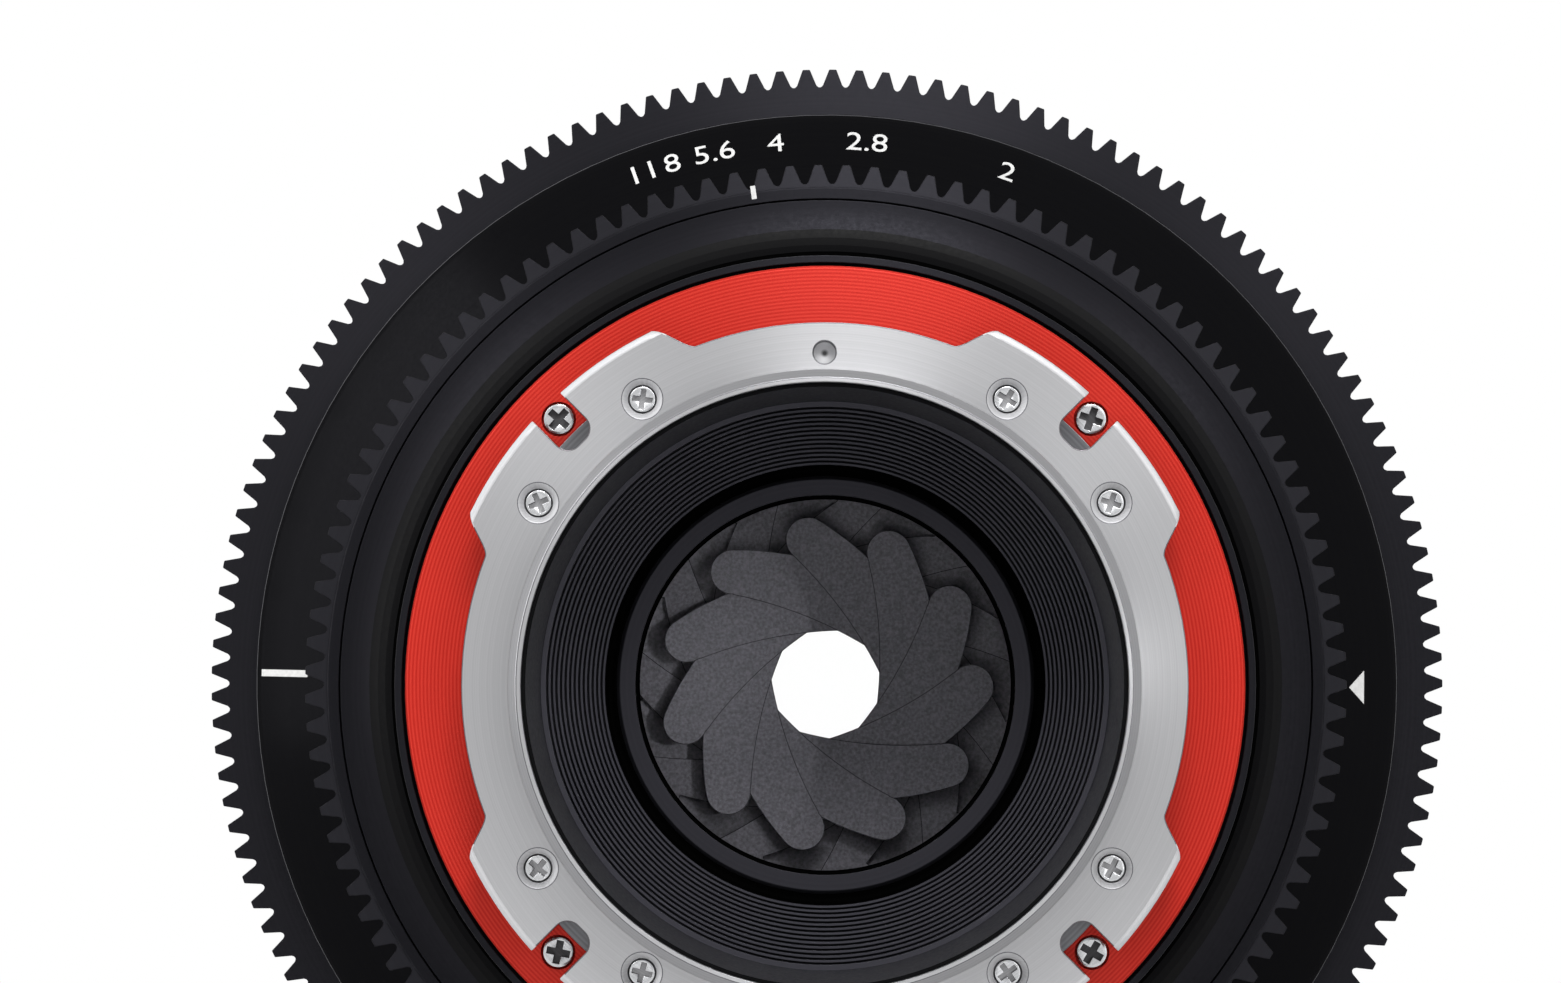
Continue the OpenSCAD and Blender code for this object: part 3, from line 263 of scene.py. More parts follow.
# %% Blacks of the light path
# Matt black paint: dull and slightly blue
baffle_black = turned_finish("aluminium_matt_black", "#121215", "#18181B", 0.50, 0.22, 0.005,
                             shine=0.30, tint=COOL)
# The floors between the baffle's ridges: painted shade, rough and without shine
groove_shade_black = turned_finish("aluminium_groove_painted_shade", "#18181B", "#1F1F22", 0.80, 0.3, 0.005, shine=0.0)
# The step and the edges, painted a shade lighter as a highlight
step_highlight_black = turned_finish("aluminium_step_painted_highlight", "#1C1C1F", "#242428", 0.45, 0.25, 0.003,
                           shine=0.47, tint=COOL)
# The tops of the baffle's ridges, painted a little brighter than the paint round them as a highlight
ridge_highlight_black = turned_finish("aluminium_ridge_painted_highlight", "#1C1C20", "#232327", 0.50, 0.22, 0.003,
                            shine=0.46, tint=COOL)
# Flock deep in the light path, and painted shade under the rim, in the collar's screw holes, in the focus
# ring's recess and on the stop ring: it gives nearly nothing back
flock_and_shade_black = turned_finish("flock_black_and_painted_shade", "#020202", "#040404", 0.85, 0.3, 0.01, shine=0.0)
print("light path:", [m.name for m in (baffle_black, groove_shade_black, step_highlight_black, ridge_highlight_black, flock_and_shade_black)])


# %% [markdown]
# The iris blades are spring steel with a rough dry-film coat: matt, a mid grey under the light, with a
# grain that is just visible. White filler paint sits in the engraved marks, chalky and slightly uneven.
# Both are a speckle in two tones, which one function gives.

# %% Speckled finishes
def speckled_finish(name, dark, light, grain_mm, rough, shine, detail=3.0, depth_mm=0.0, strength=0.0):
    material, tree = new_material(name)
    speckle = grain(tree, grain_mm, detail)
    share = add_node(tree, "ShaderNodeMapRange", {**MIDDLE, "Value": speckle})
    color = add_node(tree, "ShaderNodeMix", {
        "Factor": share.outputs["Result"], "A": linear(dark), "B": linear(light)}, data_type="RGBA")
    roughness = add_node(tree, "ShaderNodeMapRange", {
        **MIDDLE, "Value": speckle, "To Min": rough[0], "To Max": rough[1]})
    shader = add_node(tree, "ShaderNodeBsdfPrincipled", {
        "Base Color": color.outputs["Result"], "Roughness": roughness.outputs["Result"],
        "Specular IOR Level": shine})
    if depth_mm:
        normal = add_node(tree, "ShaderNodeBump", {
            "Height": speckle, "Distance": depth_mm * MM, "Strength": strength})
        tree.links.new(normal.outputs["Normal"], shader.inputs["Normal"])
    add_node(tree, "ShaderNodeOutputMaterial", {"Surface": shader.outputs[0]})
    return material


# The coat's own grain is finer: 0.28 mm is as fine as the picture can show
blade_coat = speckled_finish("spring_steel_grey_coat", "#69686E", "#908E97", 0.28, (0.55, 0.75), 0.25,
                             detail=4.0, depth_mm=0.02, strength=0.4)
# The edge of a blade painted dark: a painted shadow where it lies over the next blade, a dark line
blade_shadow_edge = speckled_finish("spring_steel_painted_shadow_edge", "#202023", "#2C2C30", 0.3, (0.5, 0.7), 0.1)
white_fill = speckled_finish("enamel_white_filler", "#C4C4C3", "#D6D6D5", 0.4, (0.5, 0.7), 0.5,
                             depth_mm=0.01, strength=0.2)
print("speckled:", blade_coat.name, blade_shadow_edge.name, white_fill.name)

# %% [markdown]
# The index hole at the top of the mount is drilled. Its dull floor is coloured darker towards the middle,
# so the colour follows the distance from the middle of the hole.

# %% Drilled hole finish
HOLE_Z = 28.7
POINT_R = 0.12
FLOOR_FROM = 0.38
drilled_steel, tree = new_material("stainless_steel_drilled")
middle = (0, 0, HOLE_Z * MM)
away = add_node(tree, "ShaderNodeVectorMath", {0: off_axis(tree)[1], 1: middle}, operation="DISTANCE")
share = add_node(tree, "ShaderNodeMapRange", {
    "Value": away.outputs["Value"], "From Min": POINT_R * MM, "From Max": FLOOR_FROM * MM})
color = add_node(tree, "ShaderNodeMix", {
    "Factor": share.outputs["Result"], "A": linear("#4A4A4C"), "B": linear("#B8B8BA")}, data_type="RGBA")
chips = grain(tree, 0.2)
roughness = add_node(tree, "ShaderNodeMapRange", {**MIDDLE, "Value": chips, "To Min": 0.5, "To Max": 0.6})
normal = add_node(tree, "ShaderNodeBump", {"Height": chips, "Distance": 0.002 * MM, "Strength": 0.3})
shader = add_node(tree, "ShaderNodeBsdfPrincipled", {
    "Base Color": color.outputs["Result"], "Metallic": 0.3, "Roughness": roughness.outputs["Result"],
    "Normal": normal.outputs["Normal"]})
add_node(tree, "ShaderNodeOutputMaterial", {"Surface": shader.outputs[0]})
print("drilled:", drilled_steel.name)


# %% [markdown]
# Coated glass lets nearly all light through and gives back a faint mirror image. The elements are drawn
# as clear shells that do not bend light, so the iris stays where the solids have it. Only the side where
# light enters mirrors, because unbent rays would meet the far side too flat and be thrown back whole.

# %% Glass
def coated_glass(name, tint, coating_ior):
    material, tree = new_material(name)
    film = grain(tree, 30.0, 1.0)
    roughness = add_node(tree, "ShaderNodeMapRange", {
        **MIDDLE, "Value": film, "To Min": 0.01, "To Max": 0.03})
    clear = add_node(tree, "ShaderNodeBsdfTransparent", {"Color": (1, 1, 1, 1)})
    mirror = add_node(tree, "ShaderNodeBsdfGlossy", {
        "Color": linear(tint), "Roughness": roughness.outputs["Result"]})
    glance = add_node(tree, "ShaderNodeFresnel", {"IOR": coating_ior}).outputs[0]
    inside = add_node(tree, "ShaderNodeNewGeometry").outputs["Backfacing"]
    entering = add_node(tree, "ShaderNodeMath", {0: 1.0, 1: inside}, operation="SUBTRACT").outputs[0]
    share = add_node(tree, "ShaderNodeMath", {0: glance, 1: entering}, operation="MULTIPLY").outputs[0]
    both = add_node(tree, "ShaderNodeMixShader", {0: share, 1: clear.outputs[0], 2: mirror.outputs[0]})
    add_node(tree, "ShaderNodeOutputMaterial", {"Surface": both.outputs[0]})
    return material


inner_glass = coated_glass("glass_coated", "#DCE4EC", 1.05)
front_glass = coated_glass("glass_coated_front", "#9FD8B8", 1.16)
scene.cycles.transparent_max_bounces = 64
print("glass:", inner_glass.name, front_glass.name)


# %% [markdown]
# Real machined edges are broken by a file or a chamfer tool, and that thin bevel is what catches the
# light. Each outer piece is a copy of its solid: doubles are merged, flat triangles become whole faces,
# and a narrow bevel goes on every sharp edge. Where the edge shows, the bevel gets a finish of its own,
# which paints shade or a highlight on it. The copy then stands for the solid.

# %% Bevelled pieces
def bevelled(node, body, material, width_mm, edge_material=None):
    piece = bpy.data.objects.new(node + "_edged", nodes[node].data.copy())
    scene.collection.objects.link(piece)
    select_only(piece)
    bpy.ops.mesh.customdata_custom_splitnormals_clear()
    bpy.ops.object.mode_set(mode="EDIT")
    bpy.ops.mesh.select_all(action="SELECT")
    bpy.ops.mesh.remove_doubles(threshold=0.002 * MM)
    bpy.ops.mesh.dissolve_limited(angle_limit=math.radians(0.05))
    bpy.ops.object.mode_set(mode="OBJECT")
    piece.data.materials.clear()
    piece.data.materials.append(material)
    edge = piece.modifiers.new("edge", "BEVEL")
    edge.width = width_mm * MM
    edge.segments = 2
    edge.limit_method = "ANGLE"
    edge.angle_limit = math.radians(30)
    edge.use_clamp_overlap = False
    # Where given, the bevel's own finish paints shade or a highlight on the edge
    if edge_material:
        piece.data.materials.append(edge_material)
        edge.material = 1
    bpy.ops.object.modifier_apply(modifier="edge")
    bpy.ops.object.shade_smooth_by_angle(angle=math.radians(40))
    even = piece.modifiers.new("even", "WEIGHTED_NORMAL")
    even.keep_sharp = True
    bpy.ops.object.modifier_apply(modifier="even")
    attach(piece, body)
    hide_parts(node)
    print(piece.name, len(piece.data.polygons), "faces")
    return piece


print("edges of 30 degrees and more are broken")


# %% [markdown]
# One turned piece often has several finishes. A zone of it is told by three spans: the distance from the
# axis, the place along it, and the lean of the faces, which is 0 where a face looks along the axis and 1
# where it looks away from it. A ring-shaped face has its centre on the axis, so its corners are asked
# instead.

# %% Zones
FLAT = (0.0, 0.1)
SLOPE = (0.2, 0.97)
WALL = (0.9, 1.0)
ANY_LEAN = (0.0, 1.0)


def ring_place(piece, face):
    corners = [piece.data.vertices[i].co / MM for i in face.vertices]
    radius = sum(math.hypot(c.x, c.z) for c in corners) / len(corners)
    return radius, sum(c.y for c in corners) / len(corners)


def lean_of(face):
    return math.hypot(face.normal.x, face.normal.z)


def paint_zone(piece, material, r_mm, y_mm, lean):
    piece.data.materials.append(material)
    index = len(piece.data.materials) - 1
    for face in piece.data.polygons:
        radius, along = ring_place(piece, face)
        inside = r_mm[0] < radius < r_mm[1] and y_mm[0] < along < y_mm[1]
        if inside and lean[0] <= lean_of(face) <= lean[1]:
            face.material_index = index


def paint_round(piece, material, places_mm, reach_mm, lean):
    piece.data.materials.append(material)
    index = len(piece.data.materials) - 1
    for face in piece.data.polygons:
        x, z = face.center.x / MM, face.center.z / MM
        near = min(math.hypot(x - px, z - pz) for px, pz in places_mm)
        if near < reach_mm and lean[0] <= lean_of(face) <= lean[1]:
            face.material_index = index


print("leans:", FLAT, SLOPE, WALL, ANY_LEAN)

# %% [markdown]
# The mount: the four-lug flange with its eight screw sinks, and the red collar behind it. The walls of
# the collar's screw holes are painted flock black as shade, so that they don't glow red.

# %% Mount
FLANGE_SCREW_R = 29.25
PAIR_HALF = 12.5
FLANGE_SCREW_ANGLES = [45 + 90 * (i // 2) + (PAIR_HALF if i % 2 else -PAIR_HALF) for i in range(8)]
SINK_REACH = 1.72
HOLE_REACH = 0.95
LEAD_IN = {"r_mm": (25.5, 27.1), "y_mm": (-6.1, -4.0), "lean": (0.35, 0.97)}
SLOT_FLOOR = {"r_mm": (27.5, 30.9), "y_mm": (2.9, 3.1), "lean": FLAT}
LUG_CHAMFER = {"r_mm": (33.2, 34.1), "y_mm": (-0.1, 0.5), "lean": SLOPE}
COLLAR_HOLES = {"r_mm": (31.2, 34.4), "y_mm": (6.05, 8.1), "lean": WALL}
sinks = [(FLANGE_SCREW_R * math.cos(math.radians(a)), FLANGE_SCREW_R * math.sin(math.radians(a)))
         for a in FLANGE_SCREW_ANGLES]
flange = bevelled("mount_flange", "barrel", satin_steel, 0.10, edge_steel_shade)
paint_zone(flange, ground_steel, **LEAD_IN)
# Painted shade: the slot floors take the darker edge steel, as if shaded by the slot walls
paint_zone(flange, edge_steel_shade, **SLOT_FLOOR)
paint_zone(flange, sunk_steel, **LUG_CHAMFER)
paint_round(flange, sunk_steel, sinks, SINK_REACH, SLOPE)
paint_round(flange, drilled_steel, [(0.0, HOLE_Z)], HOLE_REACH, ANY_LEAN)
collar = bevelled("mount_collar", "barrel", red_anodised, 0.06)
# Painted shade: the collar's screw-hole walls take the flock black
paint_zone(collar, flock_and_shade_black, **COLLAR_HOLES)

# %% [markdown]
# The black rings, from the rear to the front: the housing with its cove, the aperture ring, the barrel
# with the glossy shoulder, the focus ring and the front ring. The cove is painted darker towards the axis,
# as painted shade, in steps that follow the rings of its mesh. The recess of the focus ring is painted
# flock black as shade, which draws the dark line round the shoulder.

# %% Black rings
COVE_RINGS = (38.0, 38.84, 39.46, 40.17, 40.96)
COVE_Y = (6.4, 22)
GEAR_FACE = {"r_mm": (44.8, 46.9), "y_mm": (22.3, 22.5), "lean": FLAT}
GRIP_RECESS = {"r_mm": (53.8, 54.9), "y_mm": (55.3, 56.4), "lean": ANY_LEAN}
housing = bevelled("rear_housing", "barrel", black_anodised, 0.08)
# Painted shade: the cove's rings nearest the rim go from flock black to satin
for paint, inner, outer in zip([flock_and_shade_black] + shade_steps, COVE_RINGS, COVE_RINGS[1:]):
    paint_zone(housing, paint, (inner, outer), COVE_Y, ANY_LEAN)
# The barrel's bevels carry a painted highlight
bevelled("main_barrel", "barrel", gloss_black, 0.10, barrel_edge_highlight)
bevelled("front_barrel", "barrel", black_anodised, 0.15)
aperture_gear = bevelled("iris_ring", "aperture_ring", black_anodised, 0.06)
paint_zone(aperture_gear, tooth_black, **GEAR_FACE)
grip = bevelled("focus_ring", "focus_drive", grip_black, 0.08)
# Painted shade in the gap between the focus ring and the shoulder
paint_zone(grip, flock_and_shade_black, **GRIP_RECESS)

# %% [markdown]
# The light path: the ring that holds the last element, and the baffle, a cone of ridges that trap stray
# light. The ridges' tops are satin and painted a little brighter as a highlight, and the floors between
# them are rough and painted as shade. The retainer's chamfer and the baffle's step are painted lighter as
# a highlight, and the baffle's rim darker as shade. A floor lies about a millimetre behind the cone that
# the tops lie on, which tells the two apart.

# %% Retainer and baffle
RETAINER_CHAMFER = {"r_mm": (18.2, 18.65), "y_mm": (13.0, 14.6), "lean": (0.3, 0.98)}
BAFFLE_RIM = {"r_mm": (25.0, 26.0), "y_mm": (-5.8, -5.2), "lean": (0.0, 0.9)}
BAFFLE_STEP = {"r_mm": (24.1, 24.65), "y_mm": (2.8, 3.2), "lean": (0.0, 0.5)}
GROOVES_AT = 3.0
GROOVES_START_R = 24.15
GROOVES_END_R = 19.4
CONE_SLOPE = 11 / (24.15 - 19.5)
FLOOR_BEHIND = 0.6
retainer = bevelled("rear_retainer", "focus_group", baffle_black, 0.05)
# Painted highlight: the retainer's chamfer is a shade lighter
paint_zone(retainer, step_highlight_black, **RETAINER_CHAMFER)
baffle = bevelled("rear_baffle", "barrel", baffle_black, 0.03)
# Painted shade on the baffle's rim, and a painted highlight on its step
paint_zone(baffle, shade_steps[0], **BAFFLE_RIM)
paint_zone(baffle, step_highlight_black, **BAFFLE_STEP)
baffle.data.materials.append(groove_shade_black)
baffle.data.materials.append(ridge_highlight_black)
ridge_index = len(baffle.data.materials) - 1
floors = 0
# The floors take painted shade and the tops a painted highlight
for face in baffle.data.polygons:
    radius, along = ring_place(baffle, face)
    is_floor = along - GROOVES_AT - (GROOVES_START_R - radius) * CONE_SLOPE > FLOOR_BEHIND
    if face.normal.y < -0.9 and GROOVES_END_R < radius < GROOVES_START_R:
        face.material_index = ridge_index - is_floor
        floors += is_floor
print("groove floor faces:", floors)

# %% [markdown]
# A thin black stop ring lies just inside the retainer and hides the rim of the last element; its flock
# black is painted shade, the dark line of the retainer's shadowed bore wall. It is a circle whose edge is
# extruded inwards, and a Solidify modifier gives it thickness.

# %% Stop ring
STOP_IN = 16.5
STOP_OUT = 16.88
STOP_SUNK = 0.25
STOP_THICK = 0.25
stop_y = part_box("rear_retainer")[0][1] + STOP_SUNK * MM
shrink = STOP_IN / STOP_OUT
bpy.ops.object.select_all(action="DESELECT")
bpy.ops.mesh.primitive_circle_add(vertices=192, radius=STOP_OUT * MM, rotation=(math.pi / 2, 0, 0),
                                  location=(0, stop_y, 0))
stop_ring = bpy.context.object
stop_ring.name = "rear_stop_ring_painted_shade"
bpy.ops.object.transform_apply(location=True, rotation=True, scale=True)
bpy.ops.object.mode_set(mode="EDIT")
bpy.ops.mesh.select_all(action="SELECT")
bpy.ops.mesh.extrude_region()
bpy.ops.transform.resize(value=(shrink, 1, shrink), center_override=(0, stop_y, 0))
bpy.ops.object.mode_set(mode="OBJECT")
wall = stop_ring.modifiers.new("wall", "SOLIDIFY")
wall.thickness = STOP_THICK * MM
bpy.ops.object.modifier_apply(modifier="wall")
bpy.ops.object.mode_set(mode="EDIT")
bpy.ops.mesh.select_all(action="SELECT")
bpy.ops.mesh.normals_make_consistent(inside=False)
bpy.ops.object.mode_set(mode="OBJECT")
# Painted shade: the ring's flock black draws the dark line of the retainer's bore wall
stop_ring.data.materials.append(flock_and_shade_black)
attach(stop_ring, "focus_group")
print("stop ring", [round(c / MM, 2) for c in stop_ring.dimensions], "mm")

# %% [markdown]
# Each blade is a copy of its solid with the rear face inset by a few hundredths of a millimetre. The
# narrow border takes a dark finish, a painted shadow of the blade on the one under it, so that the blades
# stand apart where they lie over each other.

# %% Iris blades
BLADES = 11
BORDER = 0.06


def rimmed_blade(node):
    piece = bpy.data.objects.new(node + "_rimmed", nodes[node].data.copy())
    scene.collection.objects.link(piece)
    select_only(piece)
    bpy.ops.mesh.customdata_custom_splitnormals_clear()
    piece.data.materials.clear()
    piece.data.materials.append(blade_coat)
    piece.data.materials.append(blade_shadow_edge)
    bpy.ops.object.mode_set(mode="EDIT")
    bpy.ops.mesh.select_mode(type="FACE")
    bpy.ops.mesh.select_all(action="SELECT")
    bpy.ops.mesh.remove_doubles(threshold=0.001 * MM)
    bpy.ops.mesh.dissolve_limited(angle_limit=math.radians(0.5))
    bpy.ops.mesh.select_all(action="DESELECT")
    bpy.ops.object.mode_set(mode="OBJECT")
    faces = piece.data.polygons
    # Every face starts in the dark edge finish, a painted shadow; the inset rear face gets the coat
    for face in faces:
        face.material_index = 1
    rear = max((f for f in faces if f.normal.y < -0.5), key=lambda f: f.area)
    rear.select = True
    bpy.ops.object.mode_set(mode="EDIT")
    bpy.ops.mesh.inset(thickness=BORDER * MM, depth=0.0)
    piece.active_material_index = 0
    bpy.ops.object.material_slot_assign()
    bpy.ops.object.mode_set(mode="OBJECT")
    bpy.ops.object.shade_smooth_by_angle(angle=math.radians(30))
    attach(piece, node + "_body")
    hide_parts(node)
    return piece


blades = [rimmed_blade("blade_%02d" % (i + 1)) for i in range(BLADES)]
print("blades:", len(blades), "with", len(blades[0].data.polygons), "faces each")

# %% [markdown]
# A cross-recess screw is a short cylinder, cut by a plain bar turned twice, with a narrow bevel on all
# edges. The bar's own material, painted shade, stays on the faces that it leaves, and on the flange screws
# the recess floor is painted a lighter shade. One head of each size is modelled, and its copies go round
# the mount, each left by the screwdriver at another angle.

# %% Screw head
HEAD_H = 0.85
BAR_H = 1.1
HEAD_EDGE = 0.07


def screw_head(head_r, arm, arm_w, bright_floor):
    bpy.ops.object.select_all(action="DESELECT")
    bpy.ops.mesh.primitive_cylinder_add(vertices=48, radius=head_r * MM, depth=HEAD_H * MM,
                                        rotation=(math.pi / 2, 0, 0))
    head = bpy.context.object
    head.location.y = HEAD_H / 2 * MM
    bpy.ops.object.transform_apply(location=True, rotation=True, scale=True)
    head.data.materials.append(screw_steel)
    bars = []
    for turn in (0, 90):
        bpy.ops.mesh.primitive_cube_add(size=1.0)
        bar = bpy.context.object
        bar.scale = (arm * MM, BAR_H * MM, arm_w * MM)
        bar.rotation_euler.y = math.radians(turn)
        bpy.ops.object.transform_apply(location=True, rotation=True, scale=True)
        bar.data.materials.append(screw_recess_shade)
        bars.append(bar)
    for bar in bars:
        select_only(head)
        cut = head.modifiers.new("cross", "BOOLEAN")
        cut.operation = "DIFFERENCE"
        cut.object = bar
        cut.solver = "EXACT"
        cut.material_mode = "TRANSFER"
        bpy.ops.object.modifier_apply(modifier="cross")
        select_only(bar)
        bpy.ops.object.delete()
    select_only(head)
    # The recess floor is painted a lighter shade than the recess walls
    if bright_floor:
        head.data.materials.append(screw_floor_shade)
        for face in head.data.polygons:
            if face.material_index == 1 and face.normal.y < -0.9:
                face.material_index = 2
    edge = head.modifiers.new("edge", "BEVEL")
    edge.width = HEAD_EDGE * MM
    edge.segments = 2
    edge.limit_method = "ANGLE"
    edge.angle_limit = math.radians(40)
    bpy.ops.object.modifier_apply(modifier="edge")
    bpy.ops.object.shade_smooth_by_angle(angle=math.radians(35))
    return head


flange_head = screw_head(head_r=1.1, arm=1.75, arm_w=0.46, bright_floor=True)
collar_head = screw_head(head_r=1.3, arm=2.05, arm_w=0.62, bright_floor=False)
print("screw heads:", len(flange_head.data.polygons), len(collar_head.data.polygons), "faces")

# %% Screw sets
COLLAR_SCREW_R = 32.8
FLANGE_HEADS_Y = 0.5
COLLAR_HEADS_Y = 6.02


def screw_set(name, node, head, circle_mm, depth_mm, places):
    copies = []
    for angle, turn in places:
        a = math.radians(angle)
        copy = head.copy()
        copy.data = head.data.copy()
        scene.collection.objects.link(copy)
        copy.rotation_euler.y = math.radians(turn)
        copy.location = (circle_mm * MM * math.cos(a), depth_mm * MM, circle_mm * MM * math.sin(a))
        select_only(copy)
        bpy.ops.object.transform_apply(location=True, rotation=True, scale=True)
        copies.append(copy)
    select_only(head)
    bpy.ops.object.delete()
    select_only(copies[0])
    for copy in copies:
        copy.select_set(True)
    bpy.ops.object.join()
    heads = copies[0]
    heads.name = name
    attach(heads, "barrel")
    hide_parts(node)
    print(name, len(places), "screws", len(heads.data.polygons), "faces")


flange_turns = (18, 32, 8, -24, 40, 14, -36, 27)
flange_places = list(zip(FLANGE_SCREW_ANGLES, flange_turns))
collar_places = [(45, 20), (135, 41), (225, 12), (315, 30)]
screw_set("flange_screw_heads", "flange_screws", flange_head, FLANGE_SCREW_R, FLANGE_HEADS_Y, flange_places)
screw_set("collar_screw_heads", "collar_screws", collar_head, COLLAR_SCREW_R, COLLAR_HEADS_Y, collar_places)

# %% [markdown]
# Marks and numbers are engraved and filled with white. Each is a thin solid that lies on its surface: a
# line, a triangle, or a number that was text before it became a mesh. A small matrix turns it from the
# drawing plane to its place: one column for reading direction, one for up, one for out of the surface.

# %% Places for marks
CONE_UP = Vector((0.768, 0.640))
CONE_OUT = Vector((0.640, -0.768))
CONE_FOOT_R = 46.3
CONE_FOOT_Y = 44
CONE_RISE = 6 / 7.2
AXIAL = Vector((0, 1, 0))


def lay(piece, right, up, out, place_mm):
    turn = Matrix((right, up, out)).transposed().to_4x4()
    turn.translation = Vector(place_mm) * MM
    piece.matrix_world = turn
    select_only(piece)
    bpy.ops.object.transform_apply(location=True, rotation=True, scale=True)


def spoke(angle):
    a = math.radians(angle)
    return Vector((math.cos(a), 0, math.sin(a))), Vector((math.sin(a), 0, -math.cos(a)))


def on_shoulder(piece, angle, radius_mm):
    radial, right = spoke(angle)
    up = radial * CONE_UP[0] + AXIAL * CONE_UP[1]
    out = radial * CONE_OUT[0] + AXIAL * CONE_OUT[1]
    along = CONE_FOOT_Y + (radius_mm - CONE_FOOT_R) * CONE_RISE
    lay(piece, right, up, out, radial * radius_mm + AXIAL * along)


def on_rear_face(piece, angle, radius_mm, along_mm):
    radial, right = spoke(angle)
    lay(piece, right, radial, -AXIAL, radial * radius_mm + AXIAL * along_mm)


def on_band(piece, angle, radius_mm, along_mm, reads):
    out = spoke(angle)[0]
    right = AXIAL * reads
    lay(piece, right, out.cross(right), out, out * radius_mm + AXIAL * along_mm)


print("shoulder cone starts at", CONE_FOOT_R, "mm")

# %% Shapes of marks
FILL_HALF = 0.03
CAP_SHARE = 0.7


def number(words, height_mm):
    bpy.ops.object.text_add()
    piece = bpy.context.object
    piece.data.body = words
    piece.data.size = height_mm / CAP_SHARE * MM
    piece.data.align_x = "CENTER"
    piece.data.align_y = "CENTER"
    piece.data.extrude = FILL_HALF * MM
    piece.data.resolution_u = 4
    bpy.ops.object.convert(target="MESH")
    return bpy.context.object


def stroke(width_mm, length_mm):
    bpy.ops.mesh.primitive_cube_add(size=1.0)
    piece = bpy.context.object
    piece.scale = (width_mm * MM, length_mm * MM, 2 * FILL_HALF * MM)
    bpy.ops.object.transform_apply(location=True, rotation=True, scale=True)
    return piece


def pointer(base_mm, height_mm):
    bpy.ops.mesh.primitive_cylinder_add(vertices=3, radius=1.0, depth=1.0, rotation=(0, 0, math.pi))
    piece = bpy.context.object
    bpy.ops.object.transform_apply(location=True, rotation=True, scale=True)
    piece.scale = (base_mm * MM / math.sqrt(3), height_mm * MM / 1.5, 2 * FILL_HALF * MM)
    bpy.ops.object.transform_apply(location=True, rotation=True, scale=True)
    return piece


def fill_set(name, body, marks):
    bpy.ops.object.select_all(action="DESELECT")
    for piece in marks:
        piece.select_set(True)
        piece.data.materials.clear()
        piece.data.materials.append(white_fill)
    bpy.context.view_layer.objects.active = marks[0]
    bpy.ops.object.join()
    marks[0].name = name
    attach(marks[0], body)
    print(name, len(marks[0].data.polygons), "faces")


focus_index = stroke(0.65, 6.1)
on_shoulder(focus_index, 178.9, 51.1)
stop_index = pointer(3.1, 1.95)
on_shoulder(stop_index, -0.4, 50.1)
fill_set("index_marks", "barrel", [focus_index, stop_index])

# %% [markdown]
# Stop numbers: the opening falls by the square root of two from number to number, and the turn of the
# aperture ring for each opening follows from the blades. A blade's inner edge is an arc of 38.8 mm that
# swings about a pivot 18.6 mm from the axis. The same numbers stand twice: on the fixed shoulder, where a
# line on the ring points at them, and on the ring's own band, where the triangle reads them.

# %% Turn for each stop
INNER_R = 38.8
PIVOT_R = 18.6
PIVOT_ALONG = 18.2
WIDEST = 11.3
AT_REST = 4.9
SWING_RATIO = 0.79076
STOPS = {"2": 2.0, "2.8": 2.83, "4": 4.0, "5.6": 5.66, "8": 8.0, "11": 11.3}
pivot_across = math.sqrt(PIVOT_R ** 2 - PIVOT_ALONG ** 2)
centre_arm = math.hypot(AT_REST - INNER_R - pivot_across, PIVOT_ALONG)


def centre_angle(opening_mm):
    side = (INNER_R - opening_mm) ** 2 - PIVOT_R ** 2 - centre_arm ** 2
    return math.degrees(math.acos(side / (2 * PIVOT_R * centre_arm)))


ring_turn = {}
for stop, value in STOPS.items():
    opening = WIDEST * STOPS["2"] / value
    ring_turn[stop] = (centre_angle(opening) - centre_angle(AT_REST)) / SWING_RATIO
print({n: round(t, 1) for n, t in ring_turn.items()})

# %% Aperture scales
SCALE_AT = 98.3
SHOULDER_FIGURES_R = 51.2
STOP_BAND_R = 45.5
STOP_LINES_Y = 36.4
STOP_FIGURES_Y = 33.9
RING_FACE_Y = 22.0
RING_LINE_R = 44.75
shoulder_scale = []
band_scale = []
for stop, turn in ring_turn.items():
    figure = number(stop, 2.35)
    on_shoulder(figure, SCALE_AT - turn, SHOULDER_FIGURES_R)
    shoulder_scale.append(figure)
    line = stroke(1.0, 0.3)
    on_band(line, turn, STOP_BAND_R, STOP_LINES_Y, 1)
    figure = number(stop, 2.0)
    on_band(figure, turn, STOP_BAND_R, STOP_FIGURES_Y, 1)
    band_scale += [line, figure]
ring_line = stroke(0.45, 1.2)
on_rear_face(ring_line, SCALE_AT, RING_LINE_R, RING_FACE_Y)
fill_set("shoulder_stop_scale", "barrel", shoulder_scale)
fill_set("ring_stop_scale", "aperture_ring", band_scale + [ring_line])

# %% [markdown]
# Distance numbers on the focus ring, in metres. A lens of 50 mm moves forward by f squared over the free
# distance, and the helicoid gives 7 mm for 200 degrees. The ring turns clockwise as seen from behind, so
# the numbers follow each other the other way round, and they read against the line on the left of the
# shoulder. The last sign is an eight laid on its side, for infinity.

# %% Focus scale
FOCAL = 50.0
TRAVEL_PER_DEGREE = 0.035
FAR_AT = 180
FOCUS_BAND_R = 55.5
FOCUS_LINES_Y = 67.9
FOCUS_FIGURES_Y = 72.6
FOCUS_FIGURE_H = 2.8
focus_scale = []


